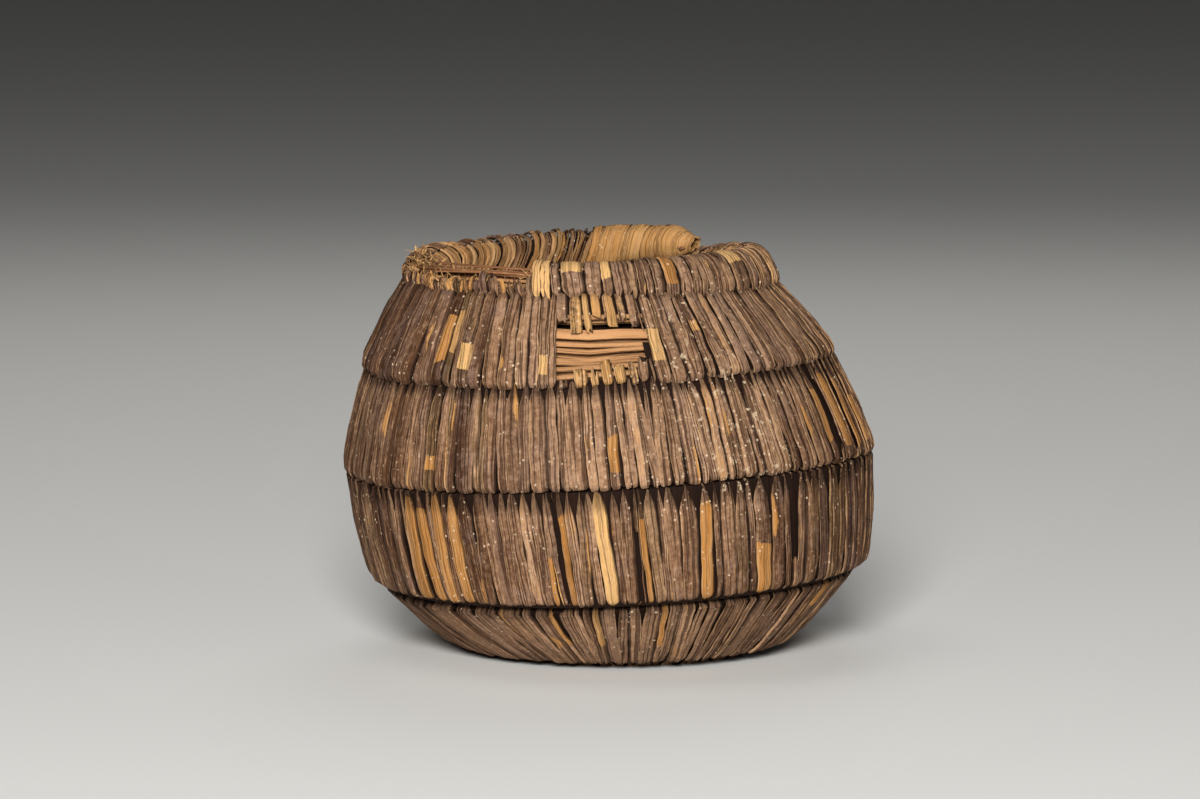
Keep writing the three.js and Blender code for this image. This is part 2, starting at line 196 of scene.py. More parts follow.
class BasketSizes(bpy.types.PropertyGroup):
    """Lengths that shape the basket and its strips"""

    belly_radius: length_property("Belly Radius", "Middle of the wall at the widest seam", 49.1 * MM)
    body_rise: length_property("Body Rise", "From the middle of the base to the seam over the rim", 78.9 * MM)
    wall_thickness: length_property("Wall Thickness", "A wound turn from inside to outside", 8.2 * MM)
    knot_radius: length_property("Knot Radius", "The knot that the spiral starts from", 4.8 * MM)
    strip_width: length_property("Strip Width", "A usual strip of leaf", 2.35 * MM)
    strip_thickness: length_property("Strip Thickness", "Leaf strip as it lies", 0.34 * MM)
    strip_lift: length_property("Strip Lift", "How far one edge of a strip stands out", 0.27 * MM)
    tip_reach: length_property("Tip Reach", "How far a strip's tip goes up behind the turn above", 2.4 * MM)
    tip_dive: length_property("Tip Dive", "How far a strip's tip sinks in under the turn above", 0.45 * MM)
    seam_fill: length_property("Seam Fill", "How far the older winding reaches up behind a turn", 1.4 * MM)
    edge_lift: length_property("Edge Lift", "How far a turn's lower edge stands out", 0.22 * MM)
    edge_drop: length_property("Edge Drop", "How far a turn's lower edge hangs over the turn below", 1.0 * MM)
    turn_stretch: length_property("Turn Stretch", "How far a turn's strips reach into the seams", 0.18 * MM)
    inner_depth: length_property("Inner Depth", "From a strip's face to the older winding", WINDING_DEPTH)
    fibre_thickness: length_property("Fibre Thickness", "A loose fibre", 0.16 * MM)
    seed: bpy.props.IntProperty(name="Seed", description="Which of many baskets is wound", default=7, min=0)


class BasketColours(bpy.types.PropertyGroup):
    """Colours of the basket's leaf and stems"""

    # Dark skin: the leaf's own darkest tone, and also painted shade on the sides and in the creases
    dark_skin_and_shade: colour_property("Dark Skin", "Weathered leaf, where it is darkest", (0.036, 0.012, 0.0045))
    skin_brown: colour_property("Brown Skin", "Weathered leaf, as it mostly is", (0.156, 0.075, 0.036))
    # Grey skin: the leaf's own rubbed, dusty grey, and also painted light on the front and near the floor
    grey_skin_and_light: colour_property("Grey Skin", "Weathered leaf, rubbed and dusty", (0.45, 0.272, 0.162))
    skin_cool: colour_property("Cool Skin", "Weathered leaf, where it is mauve grey", (0.195, 0.120, 0.092))
    skin_olive: colour_property("Olive Skin", "Skin of the greener strips", (0.20, 0.136, 0.056))
    leaf_edge: colour_property("Leaf Edge", "Cut edge of a strip", (0.48, 0.285, 0.14))
    golden_leaf: colour_property("Golden Leaf", "Leaf where its skin is off", (0.41, 0.175, 0.038))
    pale_leaf: colour_property("Pale Leaf", "Clean leaf", (0.64, 0.375, 0.145))
    split_stem: colour_property("Split Stem", "Stems of the bundle", (0.44, 0.225, 0.098))
    worn_stem: colour_property("Worn Stem", "Stems that have sprung out of the rim", (0.27, 0.115, 0.05))
    stem_shade: colour_property("Stem Shade", "Grooves of the stems", (0.12, 0.05, 0.02))
    # Painted shade: the older winding is coloured near black for the shade in gaps and seams, and the leaf
    # finish uses it for painted shadow
    shaded_old_winding: colour_property("Old Winding", "Winding that lies under the strips", (0.010, 0.004, 0.002))
    dust: colour_property("Dust", "Specks on the skin", (0.60, 0.45, 0.30))
    floor: colour_property("Floor", "Surface that the basket stands on", (0.74, 0.74, 0.728))


# The spiral


def smooth(low, high, value):
    """0 below a low value, 1 above a high one, and smooth between"""
    share = np.clip((value - low) / (high - low), 0, 1)
    return share * share * (3 - 2 * share)


def along(shares, turns):
    """A table's value at places along the spiral, on a smooth curve through its points"""
    places = np.array(SEAM_PLACES)
    values = np.array(shares, float)
    index = np.arange(len(places))
    before = np.maximum(index - 1, 0)
    after = np.minimum(index + 1, len(places) - 1)
    slopes = (values[after] - values[before]) / (places[after] - places[before])
    place = np.clip(turns, places[0], places[-1])
    start = np.clip(np.searchsorted(places, place, side="right") - 1, 0, len(places) - 2)
    length = places[start + 1] - places[start]
    part = (place - places[start]) / length
    rest = 1 - part
    ends = values[start] * (1 + 2 * part) * rest**2 + values[start + 1] * (1 + 2 * rest) * part**2
    return ends + length * (slopes[start] * part * rest**2 - slopes[start + 1] * rest * part**2)


class Spiral:
    """The line that the bundle follows, with the size and tilt of a wound turn at each place on it"""

    samples = 4200

    def __init__(self, sizes):
        self.sizes = sizes
        rounds = np.linspace(SPIRAL_START - 0.02, SPIRAL_END + 0.02, self.samples)
        angle = ROUND * rounds
        middle = rounds - CLIMB_SHARE * (8 * np.sin(angle) - np.sin(2 * angle)) / (12 * math.pi)
        low = self.seam(middle - 0.5, rounds)
        high = self.seam(middle + 0.5, rounds)
        up = self.direction(middle, rounds)
        out = np.stack((up[:, 1], -up[:, 0]), 1)
        span = np.hypot(*(high - low).T)
        thick = along(THICKNESS_SHARES, middle) * sizes.wall_thickness / 2
        bend_below = self.half_bend(self.direction(middle - 1, rounds), up)
        bend_above = self.half_bend(up, self.direction(middle + 1, rounds))
        standing = smooth(FIRST_WALL_TURN, FIRST_WALL_TURN + 1, middle)
        bulge = standing * BULGE_SHARE * span / 2 * np.tan((bend_below + bend_above) / 4)
        shoulder = along(SHOULDER_SHARES, middle)
        reach = []
        for bend in (bend_below, bend_above):
            lost = SEAM_GAP / 2 + shoulder * thick * np.abs(np.sin(bend)) - bulge * np.sin(bend)
            reach.append(span / 2 - lost / np.cos(bend))
        below, above = reach
        tall = (below + above) / 2
        closing = END_CLOSING * smooth(SPIRAL_END - END_TAPER, SPIRAL_END, rounds)
        rise = (above - below) / 2 - 0.6 * tall * closing
        centre = (low + high) / 2 + up * rise[:, None] + out * bulge[:, None]
        first, full, last, gone = FACING_PLACES
        facing = smooth(first, full, middle) * (1 - smooth(last, gone, middle))
        self.rounds = rounds
        self.columns = np.column_stack((centre, up, out, thick * (1 - closing), tall * (1 - closing)))
        self.face_columns = np.column_stack((shoulder, facing))

    def seam(self, turns, rounds):
        sizes = self.sizes
        least = sizes.knot_radius + SEAM_GAP
        radius = np.maximum(along(SEAM_RADIUS_SHARES, turns) * sizes.belly_radius, least)
        angle = ROUND * rounds
        dip = np.maximum(along(FRONT_DIP_SHARES, turns), 0) * FRONT_DIP * (0.5 + 0.5 * np.cos(angle))
        fall = np.maximum(along(SIDE_FALL_SHARES, turns), 0) * SIDE_FALL * 0.5 * np.sin(angle)
        rise = np.maximum(along(SEAM_RISE_SHARES, turns), 0) * sizes.body_rise
        return np.stack((radius, sizes.wall_thickness / 2 - REST_DEPTH + rise - dip - fall), 1)

    def direction(self, middle, rounds):
        place = np.maximum(middle, 0)
        step = self.seam(place + 0.5, rounds) - self.seam(place - 0.5, rounds)
        return step / np.hypot(*step.T)[:, None]

    @staticmethod
    def half_bend(lower, upper):
        cross = lower[:, 0] * upper[:, 1] - lower[:, 1] * upper[:, 0]
        return np.arctan2(cross, (lower * upper).sum(1)) / 2

    def at(self, rounds):
        """Centre, up, out, half thickness and half height of the turn at these places"""
        return [np.interp(rounds, self.rounds, column) for column in self.columns.T]

    def size(self, rounds):
        """Half thickness and half height of the turn"""
        return self.at(rounds)[-2:]

    def facing(self, rounds):
        """How much of the wall's leaning face a turn has, and where the flat of its face ends"""
        shoulder, facing = self.face_columns.T
        return np.interp(rounds, self.rounds, facing), np.interp(rounds, self.rounds, shoulder)

    def face_shape(self, rounds, across, upward):
        """How far the face of a wall turn stands out at a height, as in the solids"""
        facing, shoulder = self.facing(rounds)
        share = np.clip(upward / shoulder, -1.1, 1.1)
        slope = -(TOP_SETBACK + EDGE_OVERHANG) / 2
        curve = (EDGE_OVERHANG - TOP_SETBACK) / 2 - FACE_BOW
        return facing * np.maximum(across, 0) * (FACE_BOW + slope * share + curve * share**2)

    def points(self, rounds, outward, upward):
        """Points of the section, placed in the basket"""
        radius, height, up_r, up_z, out_r, out_z, _, _ = self.at(rounds)
        radius = radius + outward * out_r + upward * up_r
        height = height + outward * out_z + upward * up_z
        azimuth = -math.pi / 2 - ROUND * rounds
        drift = LEAN_SHARE * np.maximum(height - LEAN_START, 0)
        x = radius * np.cos(azimuth) - drift
        return np.stack((x, radius * np.sin(azimuth), np.maximum(height, FLOOR_GAP)), -1)

    def turns(self, length, rounds):
        """A length along the bundle as a number of turns"""
        return length / (ROUND * self.at(rounds)[0])


class Knot(Spiral):
    """The knot in the middle of the base, as a turn of its own"""

    def at(self, rounds):
        hole = 0.1 * MM
        half = (self.sizes.knot_radius - hole) / 2
        thick = (self.sizes.wall_thickness - REST_DEPTH) / 2
        values = (hole + half, thick, 1, 0, 0, -1, thick, half)
        return [value * np.ones_like(rounds) for value in values]

    def facing(self, rounds):
        return 0 * rounds, 1 + 0 * rounds


def photo_pixels(points):
    """Where points of the basket lie in the photo"""
    forward = CAMERA_AIM - CAMERA_PLACE
    forward = forward / np.linalg.norm(forward)
    right = np.cross(forward, (0, 0, 1))
    right = right / np.linalg.norm(right)
    above = np.cross(right, forward)
    seen = points - CAMERA_PLACE
    depth = seen @ forward
    across = PHOTO_WIDTH / 2 + PHOTO_FOCUS * (seen @ right) / depth
    down = PHOTO_HEIGHT / 2 - PHOTO_FOCUS * (seen @ above) / depth
    return across, down


# The outline of a wound turn

LEAST_NORMAL = 1e-9


class Outline:
    """Once round a turn: 0 is its top, the outer face comes first, a half is its bottom. Sizes are shares.
    Each corner has its own squareness: outer top, outer bottom, inner bottom, inner top."""

    def __init__(self, corners, aspect, samples=960):
        self.corners = corners
        angle = np.linspace(0, ROUND, samples + 1)
        corner = np.minimum((angle / (math.pi / 2)).astype(int), 3)
        power = 2 / np.array(corners)[corner]
        self.across = np.sign(np.sin(angle)) * np.abs(np.sin(angle)) ** power
        self.upward = np.sign(np.cos(angle)) * np.abs(np.cos(angle)) ** power
        steps = np.hypot(np.diff(self.across) * aspect, np.diff(self.upward))
        self.place = np.concatenate(([0], np.cumsum(steps))) / steps.sum()

    def at(self, place):
        place = np.mod(place, 1)
        return np.interp(place, self.place, self.across), np.interp(place, self.place, self.upward)

    def normal(self, across, upward, thick, tall):
        outer_top, outer_bottom, inner_bottom, inner_top = self.corners
        top = np.where(across > 0, outer_top, inner_top)
        bottom = np.where(across > 0, outer_bottom, inner_bottom)
        power = np.where(upward > 0, top, bottom)
        normal_x = np.sign(across) * np.abs(across) ** (power - 1) / thick
        normal_y = np.sign(upward) * np.abs(upward) ** (power - 1) / tall
        size = np.maximum(np.hypot(normal_x, normal_y), LEAST_NORMAL)
        return normal_x / size, normal_y / size

    def where(self, upward):
        """The place on the outer face at a height"""
        half = len(self.place) // 2 + 1
        return np.interp(-upward, -self.upward[:half], self.place[:half])


WALL_OUTLINE = Outline((12, 8, 5, 5), 0.42)
UNDER_OUTLINE = Outline((7, 7, 5, 5), 0.42)
BASE_OUTLINE = Outline((6, 6, 6, 6), 0.6)
RIM_OUTLINE = Outline((2.5, 2.5, 2.5, 2.5), 0.8)


# Meshes

SHARP_ANGLE = math.radians(38)


def placed(name, data):
    """A new object in the scene"""
    thing = bpy.data.objects.new(name, data)
    bpy.context.scene.collection.objects.link(thing)
    return thing


def make_object(name, points, faces, layers, material):
    """A mesh object that rides with the basket. Layers are vectors at the points, by name."""
    mesh = bpy.data.meshes.new(name)
    mesh.from_pydata(points.reshape(-1, 3).tolist(), [], faces)
    for layer, values in layers.items():
        attribute = mesh.attributes.new(layer, "FLOAT_VECTOR", "POINT")
        attribute.data.foreach_set("vector", np.ascontiguousarray(values, np.float32).ravel())
    mesh.polygons.foreach_set("use_smooth", [True] * len(mesh.polygons))
    mesh.set_sharp_from_angle(angle=SHARP_ANGLE)
    mesh.materials.append(material)
    mesh.update()
    piece = placed(name, mesh)
    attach(piece, "root")
    return piece


def tubes_object(name, batches, layer_names, finish, nodes):
    """One piece from batches of tubes. Each batch is its points, and then the vectors of each layer."""
    faces, start = [], 0
    for points, *_ in batches:
        tubes, rings, sides, _ = points.shape
        faces.extend(tube_faces(tubes, rings, sides, start))
        start += tubes * rings * sides
    points, *layers = (np.concatenate([part.reshape(-1, 3) for part in parts]) for parts in zip(*batches))
    piece = make_object(name, points, faces, dict(zip(layer_names, layers)), finish_named(finish))
    if nodes:
        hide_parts(*nodes)


def stack(*values):
    """Vectors from arrays, each spread to the shape that they have together"""
    return np.stack(np.broadcast_arrays(*values), -1)


def tube_faces(tubes, rings, sides, start=0):
    """Faces of closed tubes, each a number of rings of points, with their ends shut"""
    ring = np.arange(rings - 1)[:, None] * sides
    side = np.arange(sides)[None, :]
    near = ring + side
    beside = ring + (side + 1) % sides
    quads = np.stack((near, beside, beside + sides, near + sides), -1).reshape(-1, 4)
    first = np.arange(sides)[::-1]
    last = (rings - 1) * sides + np.arange(sides)
    faces = []
    for tube in range(tubes):
        offset = start + tube * rings * sides
        faces.extend((quads + offset).tolist())
        faces.append((first + offset).tolist())
        faces.append((last + offset).tolist())
    return faces


# Strips of leaf

# A strip's section: points across its face, and then the two of its back
ACROSS = np.array((-1, -0.62, -0.22, 0.2, 0.6, 1, 0.9, -0.9))
TOP_POINTS = 6
OUTER_STEPS = 0.62  # the part of a strip's steps that lie on the outer face
ENDS = (0.006, 0.994)  # where a whole strip starts and ends round a turn's section
ROUNDING = 0.9  # the way round a section, as a share of the way round its box
BED_DEPTH = 0.3 * MM  # how far strips lie in the section's outline
JAG_LENGTH = 1.2 * MM  # how far from a torn end its unevenness fades out
USUAL_HALF = 1.2 * MM  # half the width of the strip that the crown is given for
WIDTH_WAVE = 0.045  # how unevenly wide a strip is

# Narrow, usual and wide strips: the chance up to which each comes, and its least and greatest relative width
STRIP_KINDS = ((0.3, 0.32, 0.6), (0.85, 0.75, 1.1), (1, 1.1, 1.4))
LEAST_SPACE = 0.25 * MM  # no strip goes into less

# The older winding's grain: a turn's radius, and the way round its section, in millimetres
GRAIN_RADIUS = 40
GRAIN_ROUND = 50


def deep(values):
    """One value for each strip, to go with arrays of its points"""
    return values[:, None, None]


def spans_in_photo(spiral, outline, turn):
    """Where each marked place of a turn's front starts and ends on the spiral"""
    rounds = np.linspace(turn - FRONT_REACH, turn + FRONT_REACH, 900)
    heights = np.linspace(0.99, -0.99, 80)
    across, upward = outline.at(outline.where(heights))
    thick, tall = spiral.size(rounds)
    points = spiral.points(rounds[:, None] + 0 * heights, across * thick[:, None], upward * tall[:, None])
    columns, rows = photo_pixels(points)
    spans = []
    for kind, boxes in PATCHES[turn].items():
        for box in boxes:
            patch = Patch(*box, kind)
            nearest = np.argmin(np.abs(rows - (patch.top + patch.bottom) / 2), 1)
            seen = columns[np.arange(len(rounds)), nearest]
            first, last = np.interp((-patch.right, -patch.left), -seen, rounds)
            spans.append((first, last, patch))
    return sorted(spans, key=lambda span: span[0])


def strip_places(rng, spiral, outline, start, end, width, patched):
    """Start, end and marked place of each strip of a length. Marked places get strips of their own."""
    spans = spans_in_photo(spiral, outline, patched) if patched else []
    places = []

    def fill(low, high):
        space = float((high - low) / spiral.turns(1.0, np.array((low + high) / 2)))
        if space < LEAST_SPACE:
            return
        widths = []
        while sum(widths) < space:
            chance = rng.random()
            narrow, wide = next(shares for limit, *shares in STRIP_KINDS if chance < limit)
            widths.append(rng.uniform(narrow, wide) * width)
        if len(widths) > 1 and sum(widths) - space > widths[-1] / 2:
            widths.pop()
        edges = low + (high - low) * np.concatenate(([0], np.cumsum(widths))) / sum(widths)
        places.extend((first, last, None) for first, last in zip(edges[:-1], edges[1:]))

    here = start
    for first, last, patch in spans:
        first = max(first, here)
        if last <= first or first >= end:
            continue
        fill(here, first)
        places.append((first, last, patch))
        here = last
    fill(here, end)
    return places


class Strips:
    """Leaf strips, side by side along a turn, each with its own width, lift, colour and length"""

    def __init__(self, rng, spiral, start, end, outline=WALL_OUTLINE, fineness=1.0, patched=None):
        sizes = spiral.sizes
        places = strip_places(rng, spiral, outline, start, end, sizes.strip_width * fineness, patched)
        self.patch_of = [patch for _, _, patch in places]
        halves = []
        for first, last, patch in places:
            length = float((last - first) / spiral.turns(1.0, np.array(first)))
            halves.append(length / 2 * (rng.uniform(0.95, 1.06) - (0.16 if patch else 0)))
        count = len(places)
        self.rng = rng
        self.spiral = spiral
        self.sizes = sizes
        self.outline = outline
        self.count = count
        self.centre = np.array([(first + last) / 2 for first, last, _ in places])
        self.half = np.array(halves)
        self.start, self.end = (np.full(count, place) for place in ENDS)
        self.lean = rng.normal(0, 0.02, count)
        self.lift = rng.normal(0, 0.07, count) * MM
        wave = np.interp(self.centre, np.linspace(start, end, 9), rng.uniform(-1, 1, 9))
        raised = np.where(rng.random(count) < 0.8, 1, -0.6)
        self.tilt = 0.65 * sizes.strip_lift * raised * rng.uniform(0.4, 1.3, count)
        self.neck = rng.uniform(0.05, 0.4, count)
        self.hung_over = np.interp(self.centre + 1, LIP_PLACES, LIP_SHARES)
        self.neck_at = rng.uniform(0.82, 0.93, count) - 0.13 * self.hung_over
        self.foot = rng.uniform(0.6, 0.85, count)
        self.foot_at = rng.uniform(-0.92, -0.82, count)
        self.crown = np.full(count, 0.13 * MM)
        self.dive = sizes.tip_dive * rng.uniform(0.2, 1.2, count)
        self.edge_reach = rng.uniform(0.75, 1.15, count)
        self.tone = np.clip(0.5 + 0.24 * rng.normal(0, 1, count) + 0.2 * wave, 0, 1)
        self.bare = np.zeros(count)
        self.pale = rng.uniform(0, 0.35, count)
        self.jag = np.full(count, 0.15 * MM)
        self.worn_share = 0.16

    def give(self, which=slice(None), **values):
        """Gives some strips, or all, other values"""
        for name, value in values.items():
            getattr(self, name)[which] = value

    def mesh_arrays(self, steps):
        """Points, and the grain, tone and state at each"""
        count, rng, sizes = self.count, self.rng, self.sizes
        points_across = len(ACROSS)
        share = np.linspace(0, 1, steps)[None, :]
        warped = self._warp(self.start)[:, None] * (1 - share) + self._warp(self.end)[:, None] * share
        place = self._unwarp(warped)[:, :, None]
        thick, tall = map(deep, self.spiral.size(self.centre))
        perimeter = 4 * (thick + tall) * ROUNDING
        from_end = np.minimum(place - deep(self.start), deep(self.end) - place) * perimeter
        jag = rng.uniform(-1, 1, (count, 1, points_across)) * deep(self.jag)
        jag[:, :, TOP_POINTS:] = jag[:, :, [TOP_POINTS - 1, 0]]
        sign = np.where(share < 0.5, 1, -1)[:, :, None]
        place = place + sign * jag * np.exp(-from_end / JAG_LENGTH) / perimeter
        across, upward = self.outline.at(place)
        outer = np.mod(place, 1) < 0.5

        neck = smooth(deep(self.neck_at), 1, np.maximum(upward, 0)) * np.where(outer, 1, 0.8)
        foot = smooth(-deep(self.foot_at), 1, np.maximum(-upward, 0))
        phase = rng.uniform(0, 6.3, (count, 1, 1))
        width = (1 - (1 - deep(self.neck)) * neck) * (1 - (1 - deep(self.foot)) * foot)
        width = width * (1 + WIDTH_WAVE * np.sin(upward * 5 + phase))
        wobble = 0.07 * MM * np.sin(upward * 4.2 + phase * 1.7)
        wobble = wobble + 0.05 * MM * np.sin(upward * 11 + phase * 2.9)
        shift = deep(self.lean) * tall * upward + wobble
        sideways = ACROSS * deep(self.half) * width
        rounds = deep(self.centre) + (sideways + shift) * deep(self.spiral.turns(1.0, self.centre))
        thick, tall = self.spiral.size(rounds)
        tall = tall + sizes.turn_stretch
        normal_x, normal_y = self.outline.normal(across, upward, thick, tall)

        facing = deep(self.spiral.facing(self.centre)[0])
        crown = (1 - ACROSS**2) * deep(self.crown * self.half / USUAL_HALF)
        ridges = rng.normal(0, 0.06, (count, 1, points_across)) * MM
        ripple = rng.normal(0, 0.018, (count, steps, points_across)) * MM
        lift = deep(self.lift) + crown + ridges + ripple + deep(self.tilt) * ACROSS
        lift = lift - deep(self.dive) * neck * np.where(outer, 1, 0.5) - BED_DEPTH
        lift = lift + 0.07 * MM * np.sin(upward * 6 + phase * 3.1)
        hang = deep(np.interp(self.centre, LIP_PLACES, LIP_SHARES)) * facing
        lift = lift + sizes.edge_lift * hang * smooth(0.5, 0.9, -upward) * outer
        lift[:, :, TOP_POINTS:] = lift[:, :, [TOP_POINTS - 1, 0]] - sizes.strip_thickness

        outward = across * thick + normal_x * lift + self.spiral.face_shape(rounds, across, upward)
        tip = sizes.tip_reach * facing * smooth(0.72, 1.0, upward) * smooth(-0.2, 0.3, across)
        lip = sizes.edge_drop * hang * smooth(0.66, 1.0, -upward) * deep(self.edge_reach)
        lip = lip * smooth(-2.4 * MM, -1.1 * MM, across * thick - thick)
        points = self.spiral.points(rounds, outward, upward * tall + normal_y * lift + tip - lip)

        # Which side of a strip is raised: plus on the raised edge, which gets the tan cut edge colour, minus
        # on the low edge, which gets painted shadow
        edge = ACROSS**4 * np.where(ACROSS * np.sign(deep(self.tilt)) > 0, 1, -1)
        bare = deep(self.bare) + self._random_bare(upward)
        pale = np.repeat(self.pale[:, None], steps, 1)
        self._photo_patches(points[:, :, 2], bare, pale, outer[:, :, 2])
        # Painted shade just below the lip of the turn above and at a strip's curled-under lower end, kept as
        # the state's third value
        covered = sizes.edge_drop * facing * deep(self.hung_over) / tall
        depth = np.maximum(smooth(0.88 - covered, 0.97 - covered, upward), smooth(0.95, 1.0, -upward))
        seed = rng.uniform(0, 60, (count, 1, 1))
        grain = stack(sideways / MM + seed, place * perimeter / MM + seed, seed)
        tone = stack(deep(self.tone), bare, edge)
        state = stack(pale[:, :, None], np.where(outer, 0.0, 1.0), depth * (self.outline is WALL_OUTLINE))
        return points, grain, tone, state

    def _random_bare(self, upward):
        """Long ragged places where strips have lost their skin: 0 where it is whole, 1 where it is off"""
        rng = self.rng
        bare = np.zeros_like(upward)
        for index in np.flatnonzero(rng.random(self.count) < self.worn_share):
            middle, half = rng.uniform(-0.9, 0.9), rng.uniform(0.15, 0.7)
            side, reach = rng.choice((-1.1, 1.1)), rng.uniform(0.3, 1.2)
            far = ((upward[index] - middle) / half) ** 2 + ((ACROSS[None, :] - side) / reach) ** 2
            bare[index] = np.clip(0.95 - 0.5 * far, 0, 1)
        return bare

    def _photo_patches(self, middle, bare, pale, outer):
        """Bares the strips that the photo shows bare"""
        down = photo_pixels(middle)[1][:, :, None]
        front = (middle[:, :, 1] < FRONT_LIMIT) & outer
        for index, patch in enumerate(self.patch_of):
            if patch is None or patch.kind in ("gone", "torn"):
                continue
            ends = self.rng.uniform(-3.5, 3.5, (2, 2))
            uneven = ends[:, :1] + (ends[:, 1:] - ends[:, :1]) * (ACROSS + 1) / 2
            within = np.minimum(down[index] - patch.top - uneven[0], patch.bottom + uneven[1] - down[index])
            bare[index] = np.clip(0.5 + within / 5, -0.6, 1.6) * front[index][:, None]
            pale[index] = {"pale": 1, "golden": 0, "bare": 0.5}[patch.kind]

    @staticmethod
    def _warp(place):
        """Spreads places round the section, so that the outer face gets more than half of the steps"""
        outer, inner = OUTER_STEPS, 1 - OUTER_STEPS
        return np.where(place < 0.5, place * 2 * outer, outer + (place - 0.5) * 2 * inner)

    @staticmethod
    def _unwarp(warped):
        outer, inner = OUTER_STEPS, 1 - OUTER_STEPS
        return np.where(warped < outer, warped / (2 * outer), 0.5 + (warped - outer) / (2 * inner))


def cut_strips(strips):
    """Breaks the strips that the photo shows gone: each keeps what is above and below the break"""
    heights = np.linspace(0.97, -0.97, 90)
    _, rows, _ = face_pixels(strips, heights)
    for index, patch in enumerate(strips.patch_of):
        if patch is None or patch.kind != "gone":
            continue
        inside = (rows[index] > patch.top) & (rows[index] < patch.bottom)
        if inside.any():
            strips.start[index] = strips.outline.where(heights[inside].min())
            strips.end[index] = 1 + strips.outline.where(heights[inside].max())
            strips.jag[index] = 0.6 * MM


def face_pixels(strips, heights):
    """Where the middles of the strips' outer faces lie in the photo, at some heights, and which face it"""
    across, upward = strips.outline.at(strips.outline.where(heights))
    thick, tall = strips.spiral.size(strips.centre)
    rounds = strips.centre[:, None] + 0 * heights
    points = strips.spiral.points(rounds, across * thick[:, None], upward * tall[:, None])
    columns, rows = photo_pixels(points)
    return columns, rows, points[:, :, 1] < FRONT_LIMIT


def strip_object(name, strips, finish, nodes, steps):
    """One object from a turn's strips, standing for the CAD nodes of the turn"""
    tubes_object(name, [strips.mesh_arrays(steps)], ("grain", "tone", "state"), finish, nodes)


def inner_winding(
    name, spiral, start, end, slot, outline, ring_steps=160, sides=44, skip=None, open_top=False
):
    """The older winding under the strips: a ribbed tube round the stems that fills the seams, near black as
    painted shade
    """
    sizes = spiral.sizes
    rng = np.random.default_rng(sizes.seed + int(start * 100) + 900)
    count = max(int((end - start) * ring_steps), 8)
    rounds = np.linspace(start, end, count)[:, None]
    place = np.linspace(0, 1, sides + 1)[None, :-1]
    across, upward = outline.at(place)
    thick, tall = spiral.size(rounds)
    normal_x, normal_y = outline.normal(across, upward, thick, tall)
    ribs = rng.normal(0, 0.07, (count, 1)) * MM + rng.normal(0, 0.03, (count, sides)) * MM
    outward = across * thick - normal_x * (sizes.inner_depth + ribs)
    outward = outward + spiral.face_shape(rounds, across, upward)
    fill = smooth(0.5, 0.95, upward) - 0.8 * smooth(0.5, 0.95, -upward) * smooth(-0.2, 0.5, -across)
    upwards = upward * (tall + sizes.turn_stretch * 3) + sizes.seam_fill * spiral.facing(rounds)[0] * fill
    if open_top:
        lowered = upward * tall - normal_y * np.minimum(sizes.inner_depth, tall / 2)
        upwards = np.where(upward > 0, lowered, upwards)
    points = spiral.points(rounds + 0 * across, outward, upwards)
    ring, side = np.mgrid[: count - 1, :sides] * np.array((sides, 1))[:, None, None]
    near = ring + side
    beside = ring + (side + 1) % sides
    quads = np.stack((near, near + sides, beside + sides, beside), -1)
    shown = np.ones((count, sides), bool) if skip is None else ~skip(points, across, upward, rounds)
    faces = quads[shown[:-1]].tolist()
    faces.append(list(range(sides)))
    faces.append(list(range(count * sides - 1, (count - 1) * sides - 1, -1)))
    grain = stack(rounds * ROUND * GRAIN_RADIUS, place * GRAIN_ROUND, 0)
    piece = make_object(name, points, faces, {"grain": grain}, finish_named("shaded_old_winding"))


# Stems and fibres

STEM_LAYERS = (0.3 * MM, 2.6 * MM)  # how deep two layers of stems lie under the older winding's face
STEM_STEPS = 90
LOOSE_STEMS = 24
NOTHING = 1e-12  # the least length that is divided by


def tapered_tubes(paths, widths, heights, up, rng, sides=8, rough=0.12):
    """Rings of points round each path, with a worn uneven section. Paths are (tubes, steps, 3)."""
    tubes = len(paths)
    ahead = np.gradient(paths, axis=1)
    ahead /= np.maximum(np.linalg.norm(ahead, axis=2, keepdims=True), NOTHING)
    over = np.broadcast_to(up, paths.shape)
    over = over - (over * ahead).sum(2, keepdims=True) * ahead
    over /= np.maximum(np.linalg.norm(over, axis=2, keepdims=True), NOTHING)
    beside = np.cross(ahead, over)
    angle = np.linspace(0, ROUND, sides, endpoint=False)
    uneven = 1 + rng.normal(0, rough, (tubes, 1, sides))
    square = 1 / np.maximum(np.abs(np.cos(angle)), np.abs(np.sin(angle))) ** 0.6
    side_way = (np.cos(angle) * square)[None, None, :] * uneven * widths[:, :, None] / 2
    up_way = (np.sin(angle) * square)[None, None, :] * uneven * heights[:, :, None] / 2
    points = (
        paths[:, :, None, :]
        + beside[:, :, None, :] * side_way[..., None]
        + over[:, :, None, :] * up_way[..., None]
    )
    steps_between = np.linalg.norm(np.diff(paths, axis=1), axis=2)
    lengths = np.concatenate((np.zeros((tubes, 1)), np.cumsum(steps_between, 1)), 1)
    seeds = rng.uniform(0, 50, (tubes, 1, 1))
    around = angle * widths.mean() / 2 / MM
    return points, stack(around + seeds, lengths[:, :, None] / MM, seeds)


# Finishes


